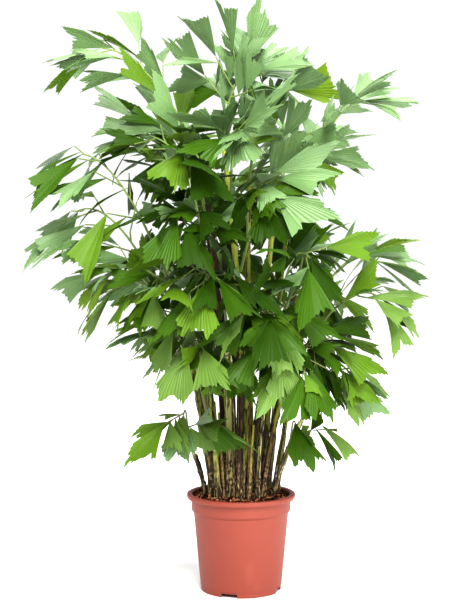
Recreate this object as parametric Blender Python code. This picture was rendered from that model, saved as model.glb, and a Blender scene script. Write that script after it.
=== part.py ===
"""A fishtail palm in a plastic nursery pot: a clump of canes whose fronds carry wedge-shaped, notched leaflets.

Metres, +Z up. The origin is the centre of the pad under the pot, on the surface that the pot stands on.
-Y is the front of the plant.
"""

import math
from collections import namedtuple
from random import Random

import bmesh
import bpy
import numpy as np
from mathutils import Matrix, Quaternion, Vector
from mathutils.bvhtree import BVHTree

UP = Vector((0, 0, 1))
GAP = 0.0003

# Pot
POT_HEIGHT = 0.242
LIP_RADIUS = 0.135
LIP_HEIGHT = 0.013
LIP_ROLL = 0.005
BAND_RADIUS = 0.124
BAND_HEIGHT = 0.034
LEDGE = 0.006
FOOT_RADIUS = 0.1010
FOOT_HEIGHT = 0.013
FOOT_INSET = 0.0015
FOOT_RING = 0.006
PAD_RADIUS = 0.055
CHANNEL_HEIGHT = 0.010
WALL = 0.0025
POT_SIDES = 36
NOTCH_WIDTH = 0.041
NOTCH_HEIGHT = 0.0095
NOTCH_ANGLES = [math.radians(252 + 90 * turn) for turn in range(4)]

# Soil
SOIL_TOP = 0.234
SOIL_CLEAR = 0.0004

# Canes
CANE_SIDES = 7
CANE_RINGS = 4
FLARE = 1.35
FLARE_HEIGHT = 0.03

# Fronds
STALK_RADIUS = 0.0042
RACHIS_TIP_RADIUS = 0.0016
RACHIS_SIDES = 4
RACHIS_RINGS = 6
FIRST_RIB, LAST_RIB = 0.40, 0.93
RIB_RADIUS, RIB_TIP_RADIUS = 0.0021, 0.0014
RIB_LENGTH = 0.080
RIB_SPREAD = math.radians(56)

# Leaflets
LEAF_LENGTH = 0.140
LEAF_WIDTH = 0.64
OUTER_NARROWING = 0.42
FULL_REACH = 0.40
FAN_WIDTH = 0.84
SPEAR_WIDTH = 0.13
LEAF_THICKNESS = 0.0022
LEAF_SPREAD = math.radians(46)
LEAF_ROLL = 0.9
SIDE_PLACES = [0.50]
LEAF_TRIES = 9
ROOM = 0.0010

# A leaflet's outer edge from left to right, as shares of its width and length
SIDE_EDGE = [(-0.48, 0.70), (-0.02, 0.74), (0.44, 1.0), (0.45, 0.58)]
FAN_EDGE = [(-0.50, 0.72), (-0.26, 1.0), (0.02, 0.82), (0.34, 0.98), (0.50, 0.68)]

Cane = namedtuple("Cane", "foot top foot_radius tip_radius")
Frond = namedtuple("Frond", "cane level tip arch ribs leaf droop twist")
Rib = namedtuple("Rib", "start end normal")
Leaf = namedtuple("Leaf", "root ahead across normal length width skew")
Plan = namedtuple("Plan", "rib ends_rib root ahead normal length width skew hang roll")
Grown = namedtuple("Grown", "corners ribs end_leaves leaves")

# Each cane: where it stands on the soil, where it ends, and its radius at either end
CANES = [
    Cane((-0.022, -0.045), (-0.034, -0.045, 0.640), 0.0130, 0.0070),
    Cane((0.016, -0.055), (0.062, -0.062, 0.585), 0.0055, 0.0043),
    Cane((-0.056, -0.052), (-0.088, -0.072, 0.560), 0.0070, 0.0050),
    Cane((-0.068, -0.026), (-0.165, -0.030, 0.740), 0.0080, 0.0058),
    Cane((-0.088, -0.004), (-0.118, -0.022, 0.345), 0.0042, 0.0040),
    Cane((-0.012, -0.006), (-0.090, 0.004, 1.020), 0.0100, 0.0056),
    Cane((0.026, -0.012), (-0.045, 0.005, 1.120), 0.0098, 0.0055),
    Cane((0.052, -0.036), (0.112, -0.055, 0.540), 0.0062, 0.0048),
    Cane((0.080, -0.014), (0.150, -0.035, 0.430), 0.0056, 0.0045),
    Cane((0.068, 0.030), (0.135, 0.045, 0.740), 0.0072, 0.0050),
    Cane((0.040, 0.046), (0.080, 0.085, 0.920), 0.0085, 0.0053),
    Cane((0.054, 0.004), (0.115, 0.010, 0.900), 0.0078, 0.0050),
    Cane((0.002, 0.060), (-0.010, 0.125, 0.780), 0.0076, 0.0052),
    Cane((-0.034, 0.034), (-0.090, 0.070, 0.960), 0.0085, 0.0053),
    Cane((-0.066, 0.036), (-0.145, 0.075, 0.660), 0.0070, 0.0050),
    Cane((-0.040, 0.084), (-0.085, 0.150, 0.440), 0.0060, 0.0047),
    Cane((0.038, -0.074), (0.054, -0.100, 0.470), 0.0048, 0.0042),
    Cane((-0.006, -0.080), (0.004, -0.114, 0.560), 0.0054, 0.0044),
    Cane((0.090, 0.012), (0.152, 0.004, 0.640), 0.0062, 0.0048),
    Cane((0.012, 0.026), (0.020, 0.030, 1.020), 0.0085, 0.0053),
]

# Each frond: its cane, how far up the cane it leaves (1 is the tip), where its rachis ends, how far it arches
# over, its count of ribs, its leaflets' size against LEAF_LENGTH, how much they hang, and how many degrees the
# blade turns about its rachis. With no ribs it is a spear, a young frond that hasn't opened.
FRONDS = [
    Frond(6, 1.00, (0.01, 0.00, 1.28), 0.00, 7, 1.08, -0.05, 80),
    Frond(5, 1.00, (-0.34, 0.00, 1.34), 0.00, 7, 1.25, 0.45, -25),
    Frond(19, 1.00, (0.08, 0.02, 1.24), 0.02, 7, 1.05, -0.05, 70),
    Frond(13, 1.00, (-0.26, 0.06, 1.13), 0.02, 7, 1.05, 0.25, -60),
    Frond(11, 1.00, (0.29, -0.01, 1.21), -0.01, 7, 1.20, 0.35, 0),
    Frond(6, 0.62, (0.14, -0.05, 1.11), 0.02, 7, 1.10, 0.00, 50),
    Frond(3, 1.00, (-0.39, -0.03, 1.08), 0.00, 6, 1.40, 1.15, -25),
    Frond(3, 0.88, (-0.41, 0.02, 0.94), 0.05, 6, 1.30, 0.60, -30),
    Frond(3, 0.72, (-0.31, -0.10, 0.80), 0.05, 6, 1.12, 0.60, -30),
    Frond(2, 1.00, (-0.31, -0.11, 0.75), 0.08, 6, 1.15, 0.75, -15),
    Frond(2, 0.84, (-0.21, -0.18, 0.77), 0.07, 5, 1.10, 0.90, -10),
    Frond(2, 0.62, (-0.16, -0.17, 0.67), 0.06, 5, 1.05, 0.95, 0),
    Frond(0, 0.62, (-0.13, -0.22, 0.62), 0.06, 4, 1.15, 1.00, 0),
    Frond(4, 1.00, (-0.14, -0.10, 0.45), 0.04, 2, 1.00, 0.90, -20),
    Frond(0, 1.00, (-0.09, -0.27, 0.77), 0.09, 6, 1.12, 0.70, -10),
    Frond(17, 1.00, (0.08, -0.22, 0.68), 0.08, 5, 1.10, 0.95, 0),
    Frond(7, 1.00, (0.18, -0.12, 0.60), 0.06, 6, 1.12, 0.70, 10),
    Frond(18, 0.86, (0.34, -0.04, 0.73), 0.05, 6, 1.15, 0.25, 25),
    Frond(18, 1.00, (0.33, 0.00, 0.82), 0.05, 6, 1.12, 0.15, 0),
    Frond(8, 1.00, (0.25, -0.09, 0.54), 0.07, 5, 1.08, 0.90, 0),
    Frond(8, 0.42, (0.13, -0.09, 0.43), 0.02, 1, 1.05, 1.00, 0),
    Frond(1, 1.00, (0.16, -0.20, 0.57), 0.06, 4, 1.08, 1.05, 0),
    Frond(16, 1.00, (0.09, -0.21, 0.61), 0.06, 3, 1.05, 1.05, 0),
    Frond(5, 0.78, (-0.14, -0.20, 1.08), 0.05, 7, 1.12, 0.15, -50),
    Frond(6, 0.78, (-0.01, -0.20, 1.12), 0.06, 7, 1.10, 0.00, 35),
    Frond(19, 0.80, (0.05, -0.20, 0.97), 0.08, 7, 1.12, 0.35, 30),
    Frond(6, 0.48, (-0.15, -0.24, 0.92), 0.09, 7, 1.12, 0.45, -25),
    Frond(1, 0.80, (0.16, -0.18, 0.83), 0.08, 6, 1.10, 0.45, 15),
    Frond(13, 0.80, (-0.18, 0.22, 1.10), 0.06, 7, 1.08, 0.35, 20),
    Frond(12, 1.00, (0.00, 0.32, 0.97), 0.08, 7, 1.10, 0.45, 0),
    Frond(10, 0.80, (0.11, 0.28, 0.90), 0.08, 6, 1.10, 0.55, 0),
    Frond(10, 1.00, (0.17, 0.20, 1.10), 0.04, 7, 1.05, 0.30, 20),
    Frond(14, 0.80, (-0.23, 0.26, 0.80), 0.08, 7, 1.08, 0.75, 0),
    Frond(12, 0.72, (-0.10, 0.34, 0.83), 0.08, 7, 1.12, 0.60, 0),
    Frond(9, 0.60, (0.21, 0.26, 0.73), 0.08, 6, 1.05, 0.90, 0),
    Frond(15, 1.00, (-0.12, 0.27, 0.60), 0.08, 6, 1.05, 0.95, 0),
    Frond(9, 1.00, (0.17, 0.04, 0.86), 0.00, 0, 0.85, -0.60, 0),
    Frond(11, 0.66, (0.20, -0.01, 0.83), 0.00, 0, 0.70, -0.60, 0),
]

LEAF_GREENS = [(0.075, 0.21, 0.035), (0.11, 0.27, 0.05), (0.16, 0.33, 0.075)]
CANE_COLOURS = [(0.23, 0.19, 0.09), (0.12, 0.08, 0.05), (0.27, 0.27, 0.10)]


def clear_scene():
    for thing in list(bpy.data.objects):
        bpy.data.objects.remove(thing, do_unlink=True)


def material(name, colour, roughness):
    """A plain finish: one colour, no metal."""
    finish = bpy.data.materials.new(name)
    finish.use_nodes = True
    shader = finish.node_tree.nodes["Principled BSDF"]
    shader.inputs["Base Color"].default_value = (*colour, 1)
    shader.inputs["Roughness"].default_value = roughness
    shader.inputs["Metallic"].default_value = 0
    return finish


def add_object(name, points, faces, finish, collection=None):
    mesh = bpy.data.meshes.new(name)
    mesh.from_pydata([tuple(p) for p in points], [], faces)
    mesh.materials.append(finish)
    thing = bpy.data.objects.new(name, mesh)
    (collection or bpy.context.scene.collection).objects.link(thing)
    return thing


def shade(thing, angle):
    """Smooth shading that keeps the edges sharper than this angle."""
    thing.data.shade_smooth()
    thing.data.set_sharp_from_angle(angle=math.radians(angle))


def lathe(name, profile, sides, finish):
    """Turns a closed outline of (radius, height) points about the Z axis. The outline runs round anticlockwise."""
    shape = bmesh.new()
    rings = []
    for radius, height in profile:
        if radius < 1e-6:
            rings.append([shape.verts.new((0, 0, height))])
            continue
        turns = [2 * math.pi * side / sides for side in range(sides)]
        rings.append([shape.verts.new((radius * math.cos(a), radius * math.sin(a), height)) for a in turns])
    for lower, upper in zip(rings, rings[1:] + rings[:1]):
        for side in range(sides):
            after = (side + 1) % sides
            corners = [lower[side % len(lower)], lower[after % len(lower)]]
            corners += [upper[after % len(upper)], upper[side % len(upper)]]
            corners = list(dict.fromkeys(corners))
            if len(corners) > 2:
                shape.faces.new(corners)
    mesh = bpy.data.meshes.new(name)
    shape.to_mesh(mesh)
    shape.free()
    mesh.materials.append(finish)
    thing = bpy.data.objects.new(name, mesh)
    bpy.context.scene.collection.objects.link(thing)
    shade(thing, 35)
    return thing


def pot_outline():
    """The pot's section: pad, channel and foot below, tapering wall, band and rolled lip outside, then the inside."""
    shoulder = POT_HEIGHT - LIP_HEIGHT - BAND_HEIGHT
    wall_top = BAND_RADIUS - LEDGE
    ring_inside = FOOT_RADIUS - FOOT_INSET - FOOT_RING
    outside = [
        (0, 0),
        (PAD_RADIUS, 0),
        (PAD_RADIUS, CHANNEL_HEIGHT),
        (ring_inside, CHANNEL_HEIGHT),
        (ring_inside, 0),
        (FOOT_RADIUS - FOOT_INSET, 0),
        (FOOT_RADIUS - FOOT_INSET, FOOT_HEIGHT),
        (FOOT_RADIUS, FOOT_HEIGHT),
        (wall_top, shoulder),
        (BAND_RADIUS - 0.0005, shoulder + LEDGE),
        (BAND_RADIUS, POT_HEIGHT - LIP_HEIGHT),
        (LIP_RADIUS - LIP_ROLL, POT_HEIGHT - LIP_HEIGHT),
    ]
    lip = []
    for step in range(1, 3):
        turn = math.pi / 2 * step / 2
        radius = LIP_RADIUS - LIP_ROLL * (1 - math.sin(turn))
        lip.append((radius, POT_HEIGHT - LIP_HEIGHT + LIP_ROLL * (1 - math.cos(turn))))
    for step in range(3):
        turn = math.pi / 2 * step / 2
        lip.append((LIP_RADIUS - LIP_ROLL * (1 - math.cos(turn)), POT_HEIGHT - LIP_ROLL * (1 - math.sin(turn))))
    inside = [
        (BAND_RADIUS - WALL, POT_HEIGHT),
        (BAND_RADIUS - WALL - 0.0005, shoulder + LEDGE),
        (wall_top - WALL, shoulder),
        (FOOT_RADIUS - WALL, CHANNEL_HEIGHT + WALL),
        (0, CHANNEL_HEIGHT + WALL),
    ]
    return outside + lip + inside


def add_cutter(name, size, centre, turn):
    """A box that is only there to be cut away."""
    shape = bmesh.new()
    bmesh.ops.create_cube(shape, size=1, matrix=Matrix.Diagonal((*size, 1)))
    mesh = bpy.data.meshes.new(name)
    shape.to_mesh(mesh)
    shape.free()
    cutter = bpy.data.objects.new(name, mesh)
    bpy.context.scene.collection.objects.link(cutter)
    cutter.location = centre
    cutter.rotation_euler = (0, 0, turn)
    return cutter


def keep_result(thing):
    """Puts what the object's modifiers make into its own mesh."""
    graph = bpy.context.evaluated_depsgraph_get()
    made = bpy.data.meshes.new_from_object(thing.evaluated_get(graph))
    thing.modifiers.clear()
    thing.data = made


def build_pot():
    """The pot, with a drain notch at each quarter of its foot ring."""
    pot = lathe("pot", pot_outline(), POT_SIDES, material("terracotta plastic", (0.66, 0.13, 0.075), 0.5))
    cutters = []
    for number, turn in enumerate(NOTCH_ANGLES):
        out = Vector((math.cos(turn), math.sin(turn), 0)) * (FOOT_RADIUS - FOOT_RING / 2)
        size = (3 * FOOT_RING, NOTCH_WIDTH, 2 * NOTCH_HEIGHT)
        cutters.append(add_cutter(f"drain notch {number}", size, out, turn))
        cut = pot.modifiers.new(f"drain notch {number}", "BOOLEAN")
        cut.operation = "DIFFERENCE"
        cut.object = cutters[-1]
    keep_result(pot)
    for cutter in cutters:
        bpy.data.objects.remove(cutter, do_unlink=True)


def build_soil():
    """The filled inside of the pot, a hair clear of its wall and floor."""
    shoulder = POT_HEIGHT - LIP_HEIGHT - BAND_HEIGHT
    inner = BAND_RADIUS - WALL - 0.0005 - SOIL_CLEAR
    floor = CHANNEL_HEIGHT + WALL + GAP
    outline = [
        (0, floor),
        (FOOT_RADIUS - WALL - SOIL_CLEAR, floor),
        (BAND_RADIUS - LEDGE - WALL - SOIL_CLEAR, shoulder),
        (inner, shoulder + LEDGE),
        (inner, SOIL_TOP),
        (0, SOIL_TOP),
    ]
    lathe("soil", outline, POT_SIDES, material("peat", (0.045, 0.018, 0.009), 0.95))


def tube(path, radii, sides, facing):
    """A tapering closed tube along a path. A corner of each ring lies towards facing."""
    points, faces = [], []
    for index, (centre, radius) in enumerate(zip(path, radii)):
        ahead = path[min(index + 1, len(path) - 1)] - path[max(index - 1, 0)]
        ahead.normalize()
        first = (facing - ahead * facing.dot(ahead)).normalized()
        second = ahead.cross(first)
        for side in range(sides):
            turn = 2 * math.pi * side / sides
            points.append(centre + (first * math.cos(turn) + second * math.sin(turn)) * radius)
    for ring in range(len(path) - 1):
        for side in range(sides):
            after = (side + 1) % sides
            a, b = ring * sides + side, ring * sides + after
            faces.append((a, b, b + sides, a + sides))
    faces.append(tuple(reversed(range(sides))))
    last = (len(path) - 1) * sides
    faces.append(tuple(range(last, last + sides)))
    return points, faces


def bezier(corners, share):
    """A point of the curve that has these corners."""
    while len(corners) > 1:
        corners = [a.lerp(b, share) for a, b in zip(corners, corners[1:])]
    return corners[0]


def cane_corners(cane):
    """A cane rises almost straight from the soil and leans out further up."""
    foot = Vector((*cane.foot, SOIL_TOP + GAP))
    top = Vector(cane.top)
    return [foot, foot + (top - foot) * 0.30 + UP * 0.22 * (top.z - foot.z), top]


def cane_radius(cane, share):
    height = share * (cane.top[2] - SOIL_TOP)
    flare = 1 + (FLARE - 1) * max(0.0, 1 - height / FLARE_HEIGHT) ** 2
    return (cane.foot_radius + (cane.tip_radius - cane.foot_radius) * share**0.8) * flare


def cane_path(cane):
    """A cane's rings, as shares of its length and their centres: close together in the root flare and even above."""
    shares = [0.0, 0.02, 0.06] + [0.06 + 0.94 * (ring + 1) / CANE_RINGS for ring in range(CANE_RINGS)]
    return shares, [bezier(cane_corners(cane), share) for share in shares]


def cane_mesh(cane):
    """A cane tapers, flares at its root, and is cut flat at the soil."""
    shares, path = cane_path(cane)
    points, faces = tube(path, [cane_radius(cane, share) for share in shares], CANE_SIDES, Vector((1, 0, 0)))
    for point in points[:CANE_SIDES]:
        point.z = SOIL_TOP + GAP
    return points, faces


def cane_end(cane):
    """The direction that the cut at a cane's tip faces."""
    path = cane_path(cane)[1]
    return (path[-1] - path[-2]).normalized()


def flat(vector):
    """The level direction of a vector."""
    return Vector((vector.x, vector.y, 0)).normalized()


def rachis_corners(frond, bow):
    """A frond's stalk goes up beside its cane, swings outwards and arches over to its tip."""
    cane = CANES[frond.cane]
    corners = cane_corners(cane)
    tip = Vector(frond.tip)
    along = (bezier(corners, frond.level) - bezier(corners, frond.level - 0.02)).normalized()
    if frond.level >= 1:
        start = corners[-1] + cane_end(cane) * GAP
    else:
        hold = bezier(corners, frond.level)
        out = flat(tip - hold)
        out = (out - along * out.dot(along)).normalized()
        start = hold + out * (cane_radius(cane, frond.level) + STALK_RADIUS + GAP)
    out = flat(tip - start)
    side = out.cross(UP)
    leave = (along + out * (0.10 if frond.level >= 1 else 0.32)).normalized()
    rise = start + leave * (tip - start).length * 0.38 + side * bow
    fall = tip - out * (tip - start).xy.length * 0.36 + UP * frond.arch + side * bow * 0.5
    return [start, rise, fall, tip]


def rachis_mesh(number, corners):
    """A frond's stalk and rachis in one. One that stands on its cane's tip is cut to fit it."""
    frond = FRONDS[number]
    cane = CANES[frond.cane]
    shares = [ring / (RACHIS_RINGS - 1) for ring in range(RACHIS_RINGS)]
    radii = [STALK_RADIUS + (RACHIS_TIP_RADIUS - STALK_RADIUS) * share**0.7 for share in shares]
    path = [bezier(corners, share) for share in shares]
    points, faces = tube(path, radii, RACHIS_SIDES, flat(path[-1] - path[0]).cross(UP))
    if frond.level >= 1:
        cut = cane_end(cane)
        ahead = (path[1] - path[0]).normalized()
        for index in range(RACHIS_SIDES):
            points[index] += ahead * ((path[0] - points[index]).dot(cut) / ahead.dot(cut))
    return points, faces


def seated(number, corners):
    """The curve of a stalk that leaves a cane's side, moved in until the stalk lies a hair off the cane."""
    cane = CANES[FRONDS[number].cane]
    bark = BVHTree.FromPolygons(*cane_mesh(cane))
    inwards = flat(bezier(cane_corners(cane), FRONDS[number].level) - corners[0])
    for _ in range(4):
        points = rachis_mesh(number, corners)[0]
        edges = zip(points[:RACHIS_SIDES], points[RACHIS_SIDES : 2 * RACHIS_SIDES])
        along = [low.lerp(high, step / 20) for low, high in edges for step in range(11)]
        gap = min(bark.find_nearest(point)[3] for point in along)
        corners = [corners[0] + inwards * (gap - GAP)] + corners[1:]
    return corners


def on_rachis(corners, share):
    """A point on the rachis as built, which runs straight from ring to ring."""
    place = share * (RACHIS_RINGS - 1)
    ring = min(int(place), RACHIS_RINGS - 2)
    below, above = (bezier(corners, (ring + step) / (RACHIS_RINGS - 1)) for step in (0, 1))
    return below.lerp(above, place - ring)


def line(corners, steps=60):
    return np.array([tuple(bezier(corners, step / steps)) for step in range(steps + 1)])


def least_room(path, radius, others):
    """The least room between a path and the lines already laid, each a list of points with a radius."""
    return min(np.linalg.norm(path[:, None] - points, axis=2).min() - radius - own for points, own in others)


def lay_rachises():
    """Each frond's curve. One that would pass too near a cane or another frond bows to one side."""
    lines = [(line(cane_corners(cane)), cane.foot_radius) for cane in CANES]
    laid = []
    for frond in FRONDS:
        others = [other for number, other in enumerate(lines) if number != frond.cane]
        best = None
        for bow in (0, 0.02, -0.02, 0.04, -0.04, 0.06, -0.06, 0.09, -0.09, 0.12, -0.12):
            corners = rachis_corners(frond, bow)
            room = least_room(line(corners), STALK_RADIUS, others)
            if best is None or room > best[0] + 0.001:
                best = (room, corners)
            if room > 0.006:
                break
        laid.append(best[1] if frond.level >= 1 else seated(len(laid), best[1]))
        lines.append((line(laid[-1]), 0.003))
    return laid


def lay_ribs(number, corners):
    """The ribs of one frond, alternating left and right of its rachis, longest below the middle."""
    frond = FRONDS[number]
    draw = Random(f"ribs {number}")
    ribs = []
    for index in range(frond.ribs):
        share = FIRST_RIB + (LAST_RIB - FIRST_RIB) * index / max(1, frond.ribs - 1)
        share += draw.uniform(-0.015, 0.015)
        root = on_rachis(corners, share)
        ahead = (bezier(corners, share + 0.01) - bezier(corners, share - 0.01)).normalized()
        turned = Quaternion(ahead, math.radians(frond.twist))
        across = turned @ ahead.cross(UP).normalized() * (1 if index % 2 else -1)
        normal = turned @ ahead.cross(UP).cross(ahead).normalized()
        spread = RIB_SPREAD * (1.05 - 0.35 * share) + draw.uniform(-0.12, 0.12)
        aim = ahead * math.cos(spread) + across * math.sin(spread) + normal * draw.uniform(-0.10, 0.28)
        aim = (aim - UP * 0.22 * max(0, frond.droop)).normalized()
        size = RIB_LENGTH * frond.leaf * (1.12 - 0.85 * (index / frond.ribs) ** 1.6) * draw.uniform(0.85, 1.12)
        ribs.append(Rib(root, root + aim * size, normal))
    return ribs


def rib_mesh(rib, facing=None):
    return tube([rib.start, rib.end], [RIB_RADIUS, RIB_TIP_RADIUS], 3, facing or rib.normal)


def rib_room(rib, grow=0.0):
    """The space that a rib needs, whichever way its corners face."""
    return tube([rib.start, rib.end], [RIB_RADIUS + grow, RIB_TIP_RADIUS + grow], 6, rib.normal)


def leaf_plans(number, corners, ribs):
    """The leaflets that a frond wants, from its tip down to its first rib."""
    frond = FRONDS[number]
    draw = Random(f"leaves {number}")
    length = LEAF_LENGTH * frond.leaf
    tip = corners[-1]
    ahead = (tip - bezier(corners, 0.95)).normalized()
    normal = Quaternion(ahead, math.radians(frond.twist)) @ ahead.cross(UP).cross(ahead).normalized()
    slim = 1 - OUTER_NARROWING * min(1, Vector(frond.tip).xy.length / FULL_REACH) ** 2
    width, size = (FAN_WIDTH * slim**0.5, 0.88 * length) if frond.ribs else (SPEAR_WIDTH, length)
    plans = [Plan(None, False, tip - ahead * 0.002, ahead, normal, size, width, 0, 0.6 * frond.droop, 0.0)]
    for index in reversed(range(len(ribs))):
        rib = ribs[index]
        aim = (rib.end - rib.start).normalized()
        side = 1 if index % 2 else -1
        width = LEAF_WIDTH * slim * draw.uniform(0.85, 1.25)
        hang = frond.droop * draw.uniform(0.5, 1.3)
        roll = draw.uniform(-LEAF_ROLL, LEAF_ROLL)
        size = length * draw.uniform(0.88, 1.1)
        plans.append(Plan(index, True, rib.end, aim, rib.normal, size, width, side, hang, roll))
        for step, place in enumerate(SIDE_PLACES):
            turn = side if step % 2 == 0 else -side
            aim_side = Quaternion(rib.normal, turn * LEAF_SPREAD * draw.uniform(0.8, 1.3)) @ aim
            root = rib.start.lerp(rib.end, place + draw.uniform(-0.08, 0.08))
            size = length * draw.uniform(0.75, 1.0)
            width = LEAF_WIDTH * slim * draw.uniform(0.8, 1.15)
            hang = frond.droop * draw.uniform(0.5, 1.3)
            roll = draw.uniform(-LEAF_ROLL, LEAF_ROLL)
            plans.append(Plan(index, False, root, aim_side, rib.normal, size, width, -turn, hang, roll))
    return plans


def leaf_at(plan, swing, small):
    """A leaflet leaves its rib, sags by hang, and turns its face up and outwards."""
    outward = flat(plan.root + Vector((0, 1e-4, 0)))
    hang = plan.hang - 0.12 * swing
    ahead = (plan.ahead - UP * hang).normalized()
    face = plan.normal * 0.55 + UP * 0.35 + outward * (0.35 + 0.5 * max(0.0, hang))
    face = (face - ahead * face.dot(ahead)).normalized()
    face = Quaternion(ahead, plan.roll + 0.28 * swing) @ face
    return Leaf(plan.root, ahead, ahead.cross(face), face, plan.length * small, plan.width, plan.skew)


def leaf_edge(leaf, grow=0.0):
    """The points of a leaflet's outer edge."""
    edge = FAN_EDGE if leaf.skew == 0 else SIDE_EDGE
    if leaf.skew < 0:
        edge = [(-x, y) for x, y in reversed(edge)]
    wide, long = leaf.width * leaf.length + 2 * grow, leaf.length + grow
    return [leaf.root + leaf.across * x * wide + leaf.ahead * y * long for x, y in edge]


def blade_faces(leaf, edge, top, roots):
    """The faces between a leaflet's outer edge, whose points start at number edge, and its root: above, a fan from
    the top point, and below, a fan from the notch. The roots are the points where the blade begins."""
    far = [(point - leaf.root).length for point in leaf_edge(leaf)]
    last = edge + len(far) - 1
    notch = edge + far.index(min(far[1:-1]))
    faces = [(top, index + 1, index) for index in range(edge, last)]
    faces += [(top, edge, roots[0]), (top, roots[-1], last)]
    round_it = [*range(edge, last + 1), *reversed(roots)]
    for index, after in zip(round_it, round_it[1:] + round_it[:1]):
        if notch not in (index, after):
            faces.append((notch, index, after))
    return faces


def leaf_mesh(leaf):
    """A thin wedge of a leaflet, thickest near its root and keen at its edge."""
    edge = leaf_edge(leaf)
    peak = leaf.root + leaf.ahead * 0.07 * leaf.length + leaf.normal * LEAF_THICKNESS
    return [leaf.root, peak] + edge, blade_faces(leaf, 2, 1, [0])


def end_leaf_mesh(rib, leaf):
    """A rib and the leaflet at its end, whose blade begins at the three corners of the rib's tip."""
    points, faces = rib_mesh(rib, leaf.normal)
    top, right, left = 3, 4, 5
    return points + leaf_edge(leaf), faces[:-1] + blade_faces(leaf, len(points), top, [left, right])


def leaf_room(leaf):
    """The space that a leaflet needs: its outline as a slab, a little larger all round."""
    start, beside = leaf.root + leaf.ahead * 0.002, leaf.across * (RIB_TIP_RADIUS + ROOM / 2)
    outline = [start - beside, *leaf_edge(leaf, ROOM), start + beside]
    points = [p - leaf.normal * ROOM for p in outline]
    points += [p + leaf.normal * (ROOM + LEAF_THICKNESS * 0.6) for p in outline]
    count = len(outline)
    faces = [tuple(range(count)), tuple(reversed(range(count, 2 * count)))]
    faces += [(i, i + count, (i + 1) % count + count, (i + 1) % count) for i in range(count)]
    return points, faces


class Taken:
    """The space that pieces already fill, each piece with its owner's name."""

    def __init__(self):
        self.lows, self.highs, self.trees, self.owners = [], [], [], []

    def add(self, shape, owner):
        points, faces = shape
        where = np.array([tuple(p) for p in points])
        self.lows.append(where.min(0))
        self.highs.append(where.max(0))
        self.trees.append(BVHTree.FromPolygons(points, faces))
        self.owners.append(owner)

    def meets(self, shape, spared):
        points, faces = shape
        where = np.array([tuple(p) for p in points])
        near = (np.array(self.lows) < where.max(0)).all(1) & (np.array(self.highs) > where.min(0)).all(1)
        tree = BVHTree.FromPolygons(points, faces)
        return any(tree.overlap(self.trees[i]) for i in np.flatnonzero(near) if self.owners[i] != spared)


def fit_leaf(plan, taken, spared):
    """The leaflet as planned or, where something is in its way, rolled, lifted and smaller. None if nothing fits."""
    for attempt in range(LEAF_TRIES):
        swing = (attempt + 1) // 2 * (1 if attempt % 2 else -1)
        leaf = leaf_at(plan, swing, 1.0 - 0.05 * attempt)
        if not taken.meets(leaf_room(leaf), spared):
            return leaf
    return None


def keep_ribs(rachises, taken):
    """Each frond's ribs, with None for one that has no room."""
    kept = []
    for number, corners in enumerate(rachises):
        ribs = []
        for index, rib in enumerate(lay_ribs(number, corners)):
            fits = not taken.meets(rib_room(rib, ROOM), f"rachis {number}")
            if fits:
                taken.add(rib_room(rib), f"rib {number} {index}")
            ribs.append(rib if fits else None)
        kept.append(ribs)
    return kept


def grow_fronds():
    """Every frond's curve, its ribs, the leaflets that end them and the other leaflets, each clear of the rest."""
    taken = Taken()
    for number, cane in enumerate(CANES):
        taken.add(cane_mesh(cane), f"cane {number}")
    rachises = lay_rachises()
    for number, corners in enumerate(rachises):
        taken.add(rachis_mesh(number, corners), f"rachis {number}")
    ribs = keep_ribs(rachises, taken)
    plans = []
    for number, corners in enumerate(rachises):
        wanted = leaf_plans(number, corners, lay_ribs(number, corners))
        plans.append([plan for plan in wanted if plan.rib is None or ribs[number][plan.rib]])
    grown = [Grown(corners, ribs[number], {}, []) for number, corners in enumerate(rachises)]
    for rank in range(max(map(len, plans))):
        for number, wanted in enumerate(plans):
            if rank >= len(wanted):
                continue
            plan = wanted[rank]
            holder = f"rachis {number}" if plan.rib is None else f"rib {number} {plan.rib}"
            leaf = fit_leaf(plan, taken, holder)
            if not leaf:
                continue
            taken.add(leaf_mesh(leaf), f"leaf {number}")
            if plan.ends_rib:
                grown[number].end_leaves[plan.rib] = leaf
            else:
                grown[number].leaves.append(leaf)
    return grown


def fuse(name, pieces, finish):
    """Joins a frond's pieces into one body."""
    holder = bpy.data.collections.new(name)
    bpy.context.scene.collection.children.link(holder)
    body = add_object(name, *pieces[0], finish)
    for number, (points, faces) in enumerate(pieces[1:]):
        add_object(f"{name} piece {number}", points, faces, finish, holder)
    union = body.modifiers.new("union", "BOOLEAN")
    union.operation = "UNION"
    union.solver = "MANIFOLD"
    union.operand_type = "COLLECTION"
    union.collection = holder
    keep_result(body)
    for piece in list(holder.objects):
        bpy.data.objects.remove(piece, do_unlink=True)
    bpy.data.collections.remove(holder)


def build_canes():
    barks = [material(f"cane bark {n}", colour, 0.7) for n, colour in enumerate(CANE_COLOURS)]
    for number, cane in enumerate(CANES):
        shade(add_object(f"cane_{number + 1:02d}", *cane_mesh(cane), barks[number % len(barks)]), 60)


def build_fronds():
    greens = [material(f"leaf green {n}", colour, 0.45) for n, colour in enumerate(LEAF_GREENS)]
    for number, frond in enumerate(grow_fronds()):
        pieces = [rachis_mesh(number, frond.corners)]
        for index, rib in enumerate(frond.ribs):
            if rib:
                leaf = frond.end_leaves.get(index)
                pieces.append(end_leaf_mesh(rib, leaf) if leaf else rib_mesh(rib))
        pieces += [leaf_mesh(leaf) for leaf in frond.leaves]
        fuse(f"frond_{number + 1:02d}", pieces, greens[number % len(greens)])


def main():
    clear_scene()
    build_pot()
    build_soil()
    build_canes()
    build_fronds()


if __name__ == "__main__":
    main()
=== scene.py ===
"""A fishtail palm in a plastic nursery pot, dressed for its portrait.

Metres, +Z up. The origin is the centre of the pad under the pot. -Y is the front of the plant.
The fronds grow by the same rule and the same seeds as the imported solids, and go on to finer leaflets.
"""

import math
from collections import namedtuple
from random import Random

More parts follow.
